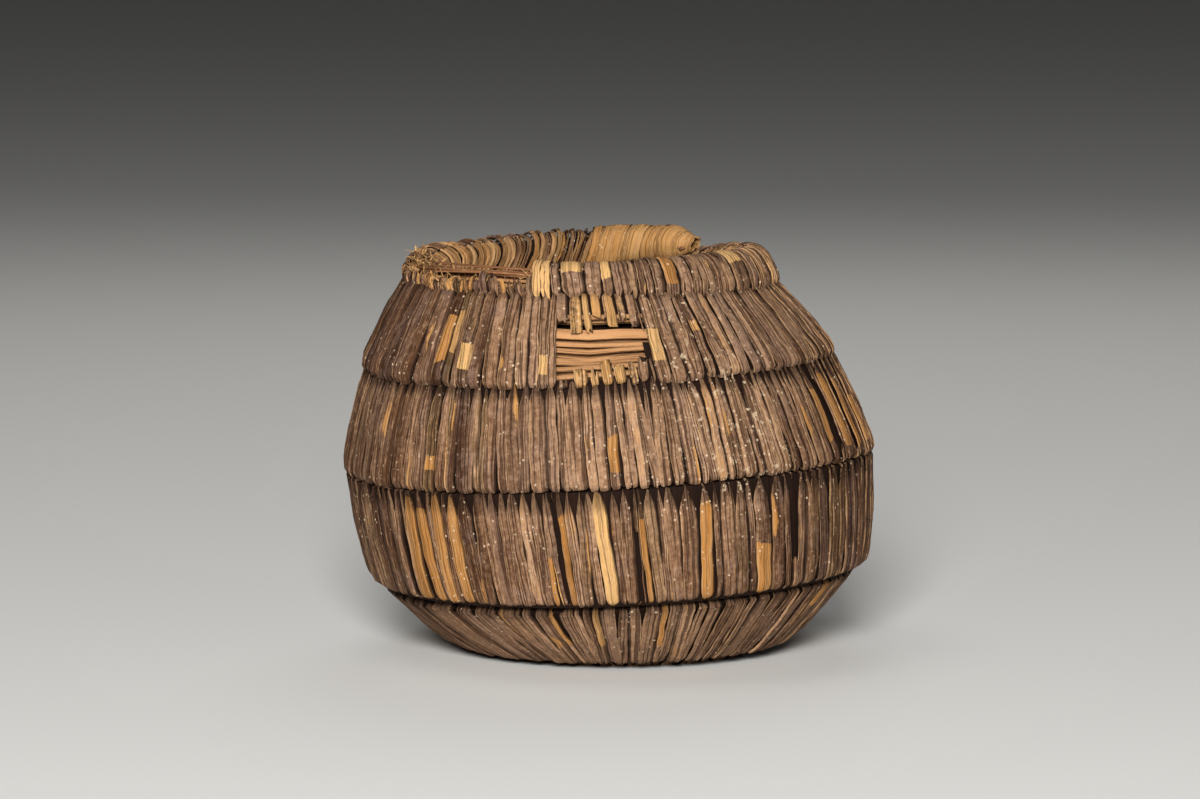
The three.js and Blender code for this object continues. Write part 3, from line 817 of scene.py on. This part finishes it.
class Reading:
    """What a shader socket gives, which takes part in sums as a number does"""

    def __init__(self, finish, socket):
        self.finish = finish
        self.socket = socket

    def _sum(self, operation, *values):
        return self.finish.add("ShaderNodeMath", {"operation": operation}, dict(enumerate(values)))

    def __add__(self, other):
        return self._sum("ADD", self, other)

    def __sub__(self, other):
        return self._sum("SUBTRACT", self, other)

    def __rsub__(self, other):
        return self._sum("SUBTRACT", other, self)

    def __mul__(self, other):
        return self._sum("MULTIPLY", self, other)

    __radd__ = __add__
    __rmul__ = __mul__

    def over(self, low, high):
        """0 below a low value, 1 above a high one, and smooth between"""
        return self.finish.add(
            "ShaderNodeMapRange",
            {"interpolation_type": "SMOOTHSTEP"},
            {"Value": self, "From Min": low, "From Max": high, "To Min": 0.0, "To Max": 1.0},
        )


class Finish:
    """A material that is being made"""

    def __init__(self, name, roughness=0.8):
        self.material = bpy.data.materials.new(name)
        self.material.use_nodes = True
        self.tree = self.material.node_tree
        self.shader = self.tree.nodes["Principled BSDF"]
        self.shader.inputs["Roughness"].default_value = roughness
        self.shader.inputs["Specular IOR Level"].default_value = 0.12

    def add(self, kind, settings=None, sockets=None, output=0):
        """A node of any type: its settings first, then the values or links of its sockets"""
        node = self.tree.nodes.new(kind)
        for name, value in (settings or {}).items():
            setattr(node, name, value)
        for name, value in (sockets or {}).items():
            self.feed(node.inputs[name], value)
        return Reading(self, node.outputs[output])

    def feed(self, socket, value):
        if isinstance(value, Reading):
            self.tree.links.new(value.socket, socket)
        elif hasattr(value, "__len__") and len(value) < len(socket.default_value):
            socket.default_value = (*value, 1)
        else:
            socket.default_value = value

    def layer(self, name):
        return self.add("ShaderNodeAttribute", {"attribute_name": name}, output="Vector")

    def parts(self, vector):
        node = self.add("ShaderNodeSeparateXYZ", None, {0: vector}).socket.node
        return [Reading(self, node.outputs[index]) for index in range(3)]

    def stretched(self, vector, scale):
        return self.add("ShaderNodeVectorMath", {"operation": "MULTIPLY"}, {0: vector, 1: scale})

    def noise(self, vector, scale, detail=3.0, roughness=0.6):
        sockets = {"Vector": vector, "Scale": scale, "Detail": detail, "Roughness": roughness}
        return self.add("ShaderNodeTexNoise", None, sockets)

    def drawn_out(self, grain, scale, detail=3.0, roughness=0.6):
        """Noise that runs along the strips or stems"""
        return self.noise(self.stretched(grain, scale), 1.0, detail, roughness)

    def place(self):
        """Where a point lies in the basket, in millimetres"""
        return self.stretched(self.add("ShaderNodeTexCoord", output="Object"), (1000, 1000, 1000))

    def mix(self, share, first, second):
        node = self.add("ShaderNodeMix", {"data_type": "RGBA"}).socket.node
        self.feed(node.inputs[0], share)
        self.feed(node.inputs[6], first)
        self.feed(node.inputs[7], second)
        return Reading(self, node.outputs[2])

    def coated(self, colour, *coats):
        """A colour with others laid over it in turn. Each coat is its share and its colour."""
        for share, coat in coats:
            colour = self.mix(share, colour, coat)
        return colour

    def finish(self, colour, roughness, height, depth):
        bump = self.add("ShaderNodeBump", None, {"Strength": 1.0, "Distance": depth, "Height": height})
        self.feed(self.shader.inputs["Base Color"], colour)
        self.feed(self.shader.inputs["Roughness"], roughness)
        self.feed(self.shader.inputs["Normal"], bump)
        return self.material


def leaf_finish(name, golden_share, colours):
    """Dry leaf: weathered skin with fine grain, tan cut edges, bare golden places, dust; painted light on the
    front and near the floor, painted shade on the sides, in creases, under strip edges and at seams
    """
    made = Finish(name)
    grain = made.layer("grain")
    tone, bare, edge = made.parts(made.layer("tone"))
    pale, inside, depth = made.parts(made.layer("state"))
    place = made.place()
    east, south, up = made.parts(place)
    fine = made.drawn_out(grain, (5.5, 0.22, 1), 4.0, 0.65)
    streak = made.drawn_out(grain, (1.6, 0.07, 1))
    own = made.drawn_out(grain, (0, 0, 1.7), 1.0)
    line = made.drawn_out(grain, (0.9, 0.018, 1), 2.0, 0.5) - 0.5
    blotch = made.noise(place, 0.16, 4.0, 0.6)
    mottle = made.noise(place, 0.9, 5.0, 0.7)

    light = tone * 0.6 + (fine - 0.5) * 1.5 + (streak - 0.5) * 1.1 + (mottle - 0.5) * 0.9
    # Painted light: the front of the basket is lighter, more so higher up
    front = east.over(-36, -12) * (1 - east.over(20, 42)) * (0 - south).over(5, 32)
    front = front * (0.3 + up.over(20, 42) * 0.8)
    # Painted shade: the left and right sides are darker, above the lowest turn
    painted_side_shade = east.over(24, 54) + (0 - east).over(24, 54)
    rubbed = ((fine - 0.5) * 1.2 + (mottle - 0.5) * 0.8 + tone * 0.1).over(0.16, 0.34)
    skin = made.coated(
        made.mix(light.over(-0.15, 0.38), colours.dark_skin_and_shade, colours.skin_brown),
        ((blotch * 0.6 + mottle * 0.4).over(0.47, 0.62) * 0.6, colours.skin_cool),
        (own.over(0.5, 0.64) * 0.4, colours.skin_cool),
        ((1 - own).over(0.52, 0.66) * 0.3, colours.skin_olive),
        (light.over(0.25, 0.9), colours.grey_skin_and_light),
        (front * (mottle.over(0.3, 0.7) * 0.3 + 0.16), colours.grey_skin_and_light),
        (painted_side_shade * up.over(16, 26) * 0.36, colours.dark_skin_and_shade),
        # Painted bounce light from the floor: the lowest part is lighter
        ((1 - up.over(6, 22)) * 0.22, colours.grey_skin_and_light),
        (rubbed * 0.6, colours.leaf_edge),
    )
    clean = made.mix(pale, colours.golden_leaf, colours.pale_leaf)
    clean = made.mix((streak + fine * 0.5).over(0.6, 0.95) * 0.5, clean, colours.leaf_edge)
    clean = made.mix(fine.over(0.36, 0.5), made.mix(0.55, clean, colours.skin_brown), clean)

    ragged = (bare + (fine - 0.5) * 0.9 + (mottle - 0.5) * 0.7).over(0.46, 0.56)
    worn_from = 0.76 - 0.4 * golden_share
    worn = (blotch + (tone - 0.5) * 0.5 + (streak - 0.5) * 0.7).over(worn_from, worn_from + 0.08)
    # Creases along the strips: sunk in the bump and darkened with painted shade
    crease = 1 - (line * line).over(0.0, 0.0018)
    colour = made.coated(
        skin,
        (ragged, clean),
        (worn * (0.5 + 0.45 * golden_share), clean),
        (crease * (0.75 - ragged * 0.45), colours.dark_skin_and_shade),
        (edge.over(0.5, 0.98) * fine.over(0.35, 0.6) * 0.6, colours.leaf_edge),
        # Painted shadow along each strip's low edge, under its raised neighbour
        ((0 - edge).over(0.2, 0.8) * 0.8, colours.shaded_old_winding),
        (inside * (tone * 0.6 + streak.over(0.4, 0.6) * 0.3), clean),
        # Painted shade at the seams, from the depth value
        (depth * 0.62, colours.shaded_old_winding),
    )

    speck = made.add("ShaderNodeTexVoronoi", {"feature": "F1"}, {"Vector": place, "Scale": 0.72})
    kept = made.noise(place, 1.3, 1.0).over(0.44, 0.56)
    dustiest = east.over(-12, 12) * (1 - east.over(28, 46)) * (0 - south).over(20, 40)
    dustiest = dustiest * up.over(22, 40) * (1 - up.over(70, 80))
    dusty = (made.noise(place, 0.085, 2.0) + dustiest * 0.3).over(0.4, 0.62)
    blot = (made.noise(place, 0.6, 4.0, 0.7) + dustiest * 0.13).over(0.72, 0.77)
    specks = (1 - speck.over(0.1, 0.24)) * dusty * kept
    colour = made.coated(colour, (specks, colours.dust), (blot * 0.7, colours.dust))
    height = fine * 0.8 + streak * 0.5 + mottle * 0.25 - ragged * 0.2 - crease * 0.6
    roughness = 0.86 - ragged * 0.12 - light.over(0.3, 1.0) * 0.08
    return made.finish(colour, roughness, height, 0.4 * MM)


def stem_finish(name, stem, colours):
    """Split stems: long straight grain with dark grooves"""
    made = Finish(name)
    grain = made.layer("grain")
    fine = made.drawn_out(grain, (4.2, 0.08, 1), 4.0, 0.65)
    broad = made.drawn_out(grain, (1.1, 0.03, 1), 2.0, 0.5)
    mottle = made.noise(made.place(), 0.7, 4.0, 0.65)
    colour = made.coated(
        made.mix((fine + broad * 0.5).over(0.45, 0.8), colours.stem_shade, stem),
        ((fine + mottle).over(1.0, 1.25) * 0.6, colours.leaf_edge),
        (mottle.over(0.6, 0.75) * 0.35, colours.skin_brown),
    )
    return made.finish(colour, 0.82 - fine * 0.1, fine + broad * 0.4, 0.3 * MM)


def old_finish(name, colours):
    """The older winding in the gaps between strips: nearly black, as painted shade"""
    made = Finish(name, 0.9)
    rib = made.drawn_out(made.layer("grain"), (1.1, 0.06, 1), 4.0)
    colour = made.mix(rib.over(0.45, 0.75) * 0.25, colours.shaded_old_winding, colours.dark_skin_and_shade)
    return made.finish(colour, 0.9 - rib * 0.1, rib, 0.5 * MM)


def fibre_finish(name, colours):
    """Loose fibres: pale tan to brown"""
    made = Finish(name)
    shade = made.drawn_out(made.layer("grain"), (0.3, 0.2, 1))
    colour = made.mix(shade.over(0.35, 0.65), colours.skin_brown, colours.pale_leaf)
    return made.finish(colour, 0.8 - shade * 0.1, shade, 0.1 * MM)


def floor_finish(name, colours):
    """A plain pale floor, a little mottled"""
    made = Finish(name, 0.7)
    place = made.add("ShaderNodeTexCoord", output="Object")
    mottle = made.noise(place, 2.0, 3.0, 0.5)
    darker = tuple(0.985 * part for part in colours.floor)
    made.shader.inputs["Specular IOR Level"].default_value = 0.1
    return made.finish(made.mix(mottle, tuple(colours.floor), darker), 0.75 - mottle * 0.05, mottle, 0.1 * MM)


def finish_named(name):
    """Makes a finish the first time that it is asked for"""
    found = bpy.data.materials.get(name)
    if found:
        return found
    colours = bpy.context.scene.basket_colours
    makers = {
        "weathered_leaf": lambda: leaf_finish(name, 0.0, colours),
        "rim_leaf": lambda: leaf_finish(name, 0.1, colours),
        "split_stems": lambda: stem_finish(name, colours.split_stem, colours),
        "worn_stems": lambda: stem_finish(name, colours.worn_stem, colours),
        "shaded_old_winding": lambda: old_finish(name, colours),
        "fibres": lambda: fibre_finish(name, colours),
        "floor": lambda: floor_finish(name, colours),
    }
    return makers[name]()


# Operators


def turn_range(turn):
    return turn - TURN_LEAD, turn - TURN_LEAD + 1


def begun(context, number, line=Spiral):
    """The line of a step that is being made, and its own random numbers"""
    sizes = context.scene.basket_sizes
    return line(sizes), np.random.default_rng(sizes.seed + number)


def in_window(points, across, *_):
    """Where the winding is torn off in the highest wall turn"""
    columns, rows = photo_pixels(points)
    beside = (columns > WINDOW_LEFT - 2) & (columns < WINDOW_RIGHT + 3)
    level = (rows > WINDOW_TOP) & (rows < WINDOW_BOTTOM)
    return beside & level & (across > 0.3) & (points[:, :, 1] < 0)


def in_break(_points, _across, upward, rounds):
    """Where the rim has lost the upper half of its winding"""
    return (rounds > BREAK_START) & (rounds < BREAK_END) & (upward > -0.3)


class BASKET_OT_knot(bpy.types.Operator):
    """Wind the knot that the spiral starts from"""

    bl_idname = "basket.knot"
    bl_label = "Wind Knot"

    def execute(self, context):
        knot, rng = begun(context, 11, Knot)
        strips = Strips(rng, knot, 0.0, 0.985, BASE_OUTLINE, 0.8)
        strips.give(neck=0.9, foot=0.25, foot_at=-0.1, dive=0.2 * MM)
        strip_object("knot_strips", strips, "weathered_leaf", ["start_knot"], steps=26)
        inner_winding("knot_core", knot, 0.0, 0.9999, "palm_leaf", BASE_OUTLINE, ring_steps=48, sides=24)
        return {"FINISHED"}


class BASKET_OT_base(bpy.types.Operator):
    """Wind the flat turns of the base"""

    bl_idname = "basket.base"
    bl_label = "Wind Base"

    def execute(self, context):
        spiral, rng = begun(context, 21)
        start, end = SPIRAL_START, FIRST_WALL_TURN - TURN_LEAD
        strips = Strips(rng, spiral, start, end, BASE_OUTLINE)
        strips.give(neck=rng.uniform(0.5, 0.85, strips.count))
        nodes = ["base_start_taper", "base_inner_winding_1", "base_inner_winding_2"]
        nodes += [f"base_outer_winding_{number}" for number in (1, 2, 3)]
        strip_object("base_strips", strips, "weathered_leaf", nodes, steps=34)
        place = (spiral, start, end, "palm_leaf", BASE_OUTLINE)
        inner_winding("base_inner_winding", *place, ring_steps=90, sides=28)
        return {"FINISHED"}


class BASKET_OT_wall(bpy.types.Operator):
    """Wind the four tall turns of the wall"""

    bl_idname = "basket.wall"
    bl_label = "Wind Wall"

    def execute(self, context):
        for turn in range(FIRST_WALL_TURN, RIM_TURN):
            spiral, rng = begun(context, 31 + turn)
            start, end = turn_range(turn)
            strips = Strips(rng, spiral, start, end, patched=turn)
            if turn == FIRST_WALL_TURN:
                aslant = smooth(turn - 0.02, turn + 0.1, strips.centre)
                strips.lean += LOW_TURN_LEAN * aslant * (1 - smooth(turn + 0.2, turn + 0.4, strips.centre))
                strips.give(neck=0.68 + 0.75 * strips.neck, neck_at=0.9)
            cut_strips(strips)
            if turn == RIM_TURN - 1:
                self.tear_window(strips)
            number = turn - FIRST_WALL_TURN + 1
            nodes = [f"wall_turn_{number}_winding_{run}" for run in range(1, 9)]
            strip_object(f"wall_{number}_strips", strips, "weathered_leaf", nodes, steps=44)
            skip = in_window if turn == RIM_TURN - 1 else None
            place = (spiral, start, end, "palm_leaf", UNDER_OUTLINE)
            inner_winding(f"wall_{number}_inner_winding", *place, skip=skip)
        return {"FINISHED"}

    @staticmethod
    def tear_window(strips):
        """Breaks the strips of the window: stubs hang from the top and stand at the bottom"""
        rng = strips.rng
        heights = np.linspace(0.97, -0.97, 120)
        columns, rows, front = face_pixels(strips, heights)
        middle = len(heights) // 2
        torn = (columns[:, middle] > WINDOW_LEFT) & (columns[:, middle] < WINDOW_RIGHT) & front[:, middle]
        for index in np.flatnonzero(torn):
            across = columns[index, middle]
            hangs_to = np.interp(across, *zip(*WINDOW_STUBS_ABOVE)) + rng.uniform(-3, 3)
            stands_to = np.interp(across, *zip(*WINDOW_STUBS_BELOW)) + rng.uniform(-3, 2)
            upper = np.interp(hangs_to, rows[index], heights)
            lower = np.interp(stands_to, rows[index], heights)
            strips.start[index] = strips.outline.where(lower)
            strips.end[index] = 1 + strips.outline.where(upper)
            neck, bare, pale = rng.uniform(0.75, 1), rng.uniform(0.2, 0.9), rng.uniform(0.3, 0.85)
            strips.give(index, jag=0.8 * MM, neck=neck, bare=bare, pale=pale)
            strips.lift[index] += rng.uniform(-0.35, 0.1) * MM
            strips.crown[index] *= 0.2
            strips.tilt[index] *= 1.3


class BASKET_OT_rim(bpy.types.Operator):
    """Wind the thin turn of the rim, with its broken length and its lashed end"""

    bl_idname = "basket.rim"
    bl_label = "Wind Rim"

    def execute(self, context):
        spiral, rng = begun(context, 41)
        start = RIM_TURN - TURN_LEAD
        whole = self.strips(rng, spiral, start, LASHING_START)
        broken = np.flatnonzero((whole.centre > BREAK_START) & (whole.centre < BREAK_END))
        count = len(broken)
        whole.start[broken] = RIM_OUTLINE.where(rng.uniform(-0.6, 0.1, count))
        whole.half[broken] *= rng.uniform(0.85, 1.3, count)
        whole.end[broken] = 0.5 + rng.uniform(0.12, 0.3, count)
        whole.lift[broken] += rng.uniform(-0.2, 0.3, count) * MM
        pale, bare = rng.uniform(0, 0.5, count), rng.uniform(0.1, 0.62, count)
        whole.give(broken, jag=1.8 * MM, pale=pale, bare=bare)
        collar = (whole.centre > BREAK_START - COLLAR_LENGTH) & (whole.centre <= BREAK_START)
        whole.lift[collar] += 0.55 * MM
        whole.give(collar, pale=1, bare=1)
        nodes = [f"rim_winding_{run}" for run in range(1, 9)]
        strip_object("rim_strips", whole, "rim_leaf", nodes, steps=34)
        lashing = Strips(rng, spiral, LASHING_START, SPIRAL_END - 0.004, RIM_OUTLINE, 2.1)
        lashing.give(neck=0.95, foot=0.7, dive=0, bare=1)
        lashing.lift += 1.0 * MM - 1.0 * MM * smooth(SPIRAL_END - END_TAPER, SPIRAL_END, lashing.centre)
        lashing.half *= 1.08
        ragged = 1 + 4 * smooth(SPIRAL_END - 0.05, SPIRAL_END, lashing.centre)
        lashing.lift += rng.normal(0, 0.1, lashing.count) * MM * ragged
        lashing.tilt *= 0.6
        lashing.crown *= 0.7
        lashing.lean += RIM_LEAN
        lashing.pale = rng.uniform(0.05, 0.6, lashing.count)
        strip_object("rim_end_strips", lashing, "rim_leaf", ["rim_end_lashing"], steps=34)
        place = (spiral, start, SPIRAL_END - 0.012, "pale_leaf", RIM_OUTLINE)
        inner_winding("rim_inner_winding", *place, skip=in_break, open_top=True)
        return {"FINISHED"}

    @staticmethod
    def strips(rng, spiral, start, end):
        """The rim's strips, which get finer, slanted and uneven towards the back"""
        strips = Strips(rng, spiral, start, end, RIM_OUTLINE, 0.72, patched=RIM_TURN)
        strips.tone = np.clip(strips.tone - 0.2, 0, 1)
        strips.neck[:] = rng.uniform(0.85, 1, strips.count)
        back = smooth(RIM_TURN + 0.22, RIM_TURN + 0.32, strips.centre)
        strips.lean += RIM_LEAN * back
        strips.half *= rng.uniform(0.94, 1.05, strips.count) * (1 - 0.48 * back * rng.random(strips.count))
        strips.lift += 0.25 * MM + rng.normal(0, 0.34, strips.count) * MM * back
        strips.tilt *= 1 + 0.8 * back
        strips.crown *= 1.5
        strips.bare += back * rng.uniform(-0.3, 0.6, strips.count)
        strips.foot = rng.uniform(0.12, 0.5, strips.count) + 0.4 * (strips.centre < RIM_TURN - 0.05)
        strips.foot_at = rng.uniform(-0.62, -0.4, strips.count)
        strips.give(dive=0, pale=rng.uniform(0.1, 0.75, strips.count))
        return strips


class BASKET_OT_stems(bpy.types.Operator):
    """Lay the bundle of split stems, and the stems that have sprung out of the rim"""

    bl_idname = "basket.stems"
    bl_label = "Lay Stems"

    def execute(self, context):
        spiral, rng = begun(context, 51)
        batches = []
        for turn in range(0, RIM_TURN):
            start, end = turn_range(turn)
            batches.extend(self.turn_stems(rng, spiral, turn, start - 0.01, end + 0.01))
        start = RIM_TURN - TURN_LEAD
        batches.extend(self.turn_stems(rng, spiral, RIM_TURN, start - 0.01, SPIRAL_END - 0.01))
        for first, last, fray in (
            (start, BREAK_START + 0.012, 0.02),
            (BREAK_END - 0.03, SPIRAL_END - 0.02, 0.03),
        ):
            batches.extend(self.turn_stems(rng, spiral, RIM_TURN, first, last, RIM_UPPER_ROWS, fray))
        nodes = ["stems_lower", "stems_middle", "stems_upper", "stems_upper_past_break"]
        tubes_object("bundle_stems", batches, ("grain",), "split_stems", nodes)
        nodes = [f"loose_stem_{number}" for number in range(1, 5)]
        loose = self.loose_stems(rng, spiral)
        tubes_object("sprung_stems", loose, ("grain",), "worn_stems", nodes)
        return {"FINISHED"}

    @staticmethod
    def turn_stems(rng, spiral, turn, start, end, rows_and_widths=None, fray=0.0):
        """Flat stems in two layers, each with rows from the bottom of the turn to its top"""
        steps = STEM_STEPS
        rounds = np.linspace(start, end, steps)
        out_r, out_z, thick, tall = spiral.at(rounds)[-4:]
        turn_rows = {RIM_TURN: RIM_LOWER_ROWS, RIM_TURN - 1: WINDOW_ROWS}
        rows, widths = rows_and_widths or turn_rows.get(turn, WALL_ROWS)
        cover = 0.4 * MM if turn >= RIM_TURN - 1 else 1.0 * MM
        drawn_in = 0.4 if turn == RIM_TURN else 0.12
        azimuth = -math.pi / 2 - ROUND * rounds
        outward_axis = np.stack((out_r * np.cos(azimuth), out_r * np.sin(azimuth), out_z), -1)
        batches = []
        for depth in STEM_LAYERS:
            paths, wide, high = [], [], []
            for row, width in zip(rows, widths):
                wander = np.interp(rounds, np.linspace(start, end, 40), rng.normal(0, 0.16, 40)) * MM
                own = np.linspace(start + rng.uniform(0, fray), end - rng.uniform(0, fray), steps)
                outward = (thick - WINDING_DEPTH - depth) * (1 - drawn_in * abs(row)) - cover
                outward = outward + np.minimum(spiral.face_shape(own, 1, row), 0)
                paths.append(spiral.points(own, outward + wander, row * tall + wander))
                wide.append(width * tall * 0.86)
                high.append(np.full(steps, rng.uniform(0.9, 1.3) * MM))
            shape = (np.array(paths), np.array(wide), np.array(high))
            batches.append(tapered_tubes(*shape, outward_axis[None], rng, 10, 0.09))
        return batches

    @staticmethod
    def loose_stems(rng, spiral):
        """Slender stems across the break, lying on the broken winding"""
        steps = 26
        paths, widths = [], []
        for number in range(LOOSE_STEMS):
            start = BREAK_START - 0.012 + rng.uniform(-0.004, 0.006)
            end = BREAK_START + BREAK_LENGTH * rng.uniform(0.6, 1.06)
            rounds = np.linspace(start, end, steps)
            inward = (number / (LOOSE_STEMS - 1) - 0.5) * 5.2 * MM + rng.normal(0, 0.2) * MM
            high = rng.uniform(0.7, 2.5) * MM
            follow = spiral.points(rounds, np.full(steps, -inward), np.full(steps, high))
            share = np.linspace(0, 1, steps)[:, None]
            straight = follow[0] * (1 - share) + follow[-1] * share
            bent = follow * 0.62 + straight * 0.38
            bent[:, 2] += np.sin(share[:, 0] * math.pi) * rng.uniform(-0.3, 0.7) * MM
            paths.append(bent)
            thin = rng.uniform(0.45, 1.2) * MM
            widths.append(thin * (1 - 0.45 * share[:, 0]))
        widths = np.array(widths)
        return [tapered_tubes(np.array(paths), widths, widths * 0.7, np.array((0, 0, 1.0)), rng, 7, 0.12)]


class BASKET_OT_fibres(bpy.types.Operator):
    """Fray the ends where the rim is broken"""

    bl_idname = "basket.fibres"
    bl_label = "Fray Ends"

    def execute(self, context):
        spiral, rng = begun(context, 61)
        tufts = (
            (260, 0.15, 0.21, (-0.5, 0.9), 5 * MM),
            (180, 0.165, 0.2, (-0.6, -0.1), 2.5 * MM),
            (120, 0.185, 0.22, (-0.3, 1.1), 3 * MM),
            (60, -0.008, 0.02, (-0.4, 0.7), 3 * MM),
            (420, 0.01, 0.2, (-0.5, 0.05), 2 * MM),
        )
        batches = [
            self.tuft(rng, spiral, count, BREAK_START + start, BREAK_START + end, heights, length)
            for count, start, end, heights, length in tufts
        ]
        tubes_object("rim_fibres", batches, ("grain",), "fibres", ())
        return {"FINISHED"}

    @staticmethod
    def tuft(rng, spiral, count, start, end, heights, length):
        """Short bent fibres that lie roughly along the bundle"""
        steps = 9
        paths, widths = [], []
        for _ in range(count):
            place = rng.uniform(start, end)
            thick, tall = spiral.size(np.array(place))
            reach = rng.uniform(0.35, 1) * length * rng.choice((-1, 1))
            rounds = place + float(spiral.turns(reach, np.array(place))) * np.linspace(0, 1, steps)
            outward = rng.uniform(-0.8, 0.85) * thick + np.linspace(0, rng.normal(0, 0.9), steps) * MM
            upward = rng.uniform(*heights) * tall + np.linspace(0, rng.normal(0.2, 1.0), steps) * MM
            curl = np.sin(np.linspace(0, rng.uniform(1, 3), steps)) * rng.normal(0, 0.35) * MM
            paths.append(spiral.points(rounds, outward + curl, upward + curl))
            widths.append(spiral.sizes.fibre_thickness * rng.uniform(0.7, 2.9) * np.linspace(1, 0.4, steps))
        widths = np.array(widths)
        return tapered_tubes(np.array(paths), widths, widths * 0.6, np.array((0, 0, 1.0)), rng, 5, 0.1)


class BASKET_OT_stage(bpy.types.Operator):
    """Set the floor, the lamps, the background and the camera"""

    bl_idname = "basket.stage"
    bl_label = "Set Stage"

    def execute(self, context):
        self.make_floor()
        self.make_lamps()
        self.make_world()
        self.make_camera(context)
        context.scene.view_settings.view_transform = "Standard"
        return {"FINISHED"}

    @staticmethod
    def make_floor():
        half = 14
        corners = [(-half, -half, 0), (half, -half, 0), (half, half, 0), (-half, half, 0)]
        mesh = bpy.data.meshes.new("floor")
        mesh.from_pydata(corners, [], [(0, 1, 2, 3)])
        mesh.materials.append(finish_named("floor"))
        floor = placed("floor", mesh)

    @staticmethod
    def make_lamps():
        lamps = (
            ("key_lamp", (-0.07, -1.55, 0.61), 0.44, 44, (1, 0.985, 0.955)),
            ("back_lamp", (0.1, 0.75, 0.75), 0.5, 1.3, (1, 0.985, 0.955)),
            ("fill_lamp", (0.9, -0.9, 0.2), 0.6, 0.6, (1, 0.99, 0.97)),
            ("top_lamp", (-0.3, 0.0, 1.25), 0.6, 1.7, (1, 0.99, 0.97)),
        )
        target = np.array((0, 0, 0.04))
        for name, place, size, power, colour in lamps:
            data = bpy.data.lights.new(name, "AREA")
            data.size = size
            data.energy = power
            data.color = colour
            lamp = placed(name, data)
            lamp.location = place
            lamp.rotation_euler = aim_rotation(np.array(place), target)

    @staticmethod
    def make_world():
        world = bpy.data.worlds.new("studio")
        bpy.context.scene.world = world
        world.use_nodes = True
        background = world.node_tree.nodes["Background"]
        background.inputs["Color"].default_value = (1, 0.99, 0.97, 1)
        background.inputs["Strength"].default_value = 0.05

    @staticmethod
    def make_camera(context):
        data = bpy.data.cameras.new("photo_camera")
        data.sensor_width = SENSOR_WIDTH
        data.lens = SENSOR_WIDTH * PHOTO_FOCUS / PHOTO_WIDTH
        data.clip_end = 60
        camera = placed("photo_camera", data)
        camera.location = CAMERA_PLACE
        camera.rotation_euler = aim_rotation(CAMERA_PLACE, CAMERA_AIM)
        context.scene.camera = camera


def aim_rotation(place, target):
    step = target - place
    flat = math.hypot(step[0], step[1])
    return (math.atan2(flat, -step[2]), 0, math.atan2(step[1], step[0]) - math.pi / 2)


class BASKET_PT_panel(bpy.types.Panel):
    """Lists the steps that make the basket"""

    bl_idname = "BASKET_PT_panel"
    bl_label = "Coiled Basket"
    bl_space_type = "VIEW_3D"
    bl_region_type = "UI"
    bl_category = "Basket"

    def draw(self, context):
        layout = self.layout
        for step in STEPS:
            layout.operator(f"basket.{step}")
        for group in (context.scene.basket_sizes, context.scene.basket_colours):
            box = layout.box()
            for name in group.__annotations__:
                box.prop(group, name)


STEPS = ("knot", "base", "wall", "rim", "stems", "fibres", "stage")
CLASSES = (
    BasketSizes,
    BasketColours,
    BASKET_OT_knot,
    BASKET_OT_base,
    BASKET_OT_wall,
    BASKET_OT_rim,
    BASKET_OT_stems,
    BASKET_OT_fibres,
    BASKET_OT_stage,
    BASKET_PT_panel,
)


def register():
    for entry in CLASSES:
        bpy.utils.register_class(entry)
    bpy.types.Scene.basket_sizes = bpy.props.PointerProperty(type=BasketSizes)
    bpy.types.Scene.basket_colours = bpy.props.PointerProperty(type=BasketColours)


def unregister():
    del bpy.types.Scene.basket_colours
    del bpy.types.Scene.basket_sizes
    for entry in reversed(CLASSES):
        bpy.utils.unregister_class(entry)


def main():
    register()
    for step in STEPS:
        getattr(bpy.ops.basket, step)()


if __name__ == "__main__":
    main()
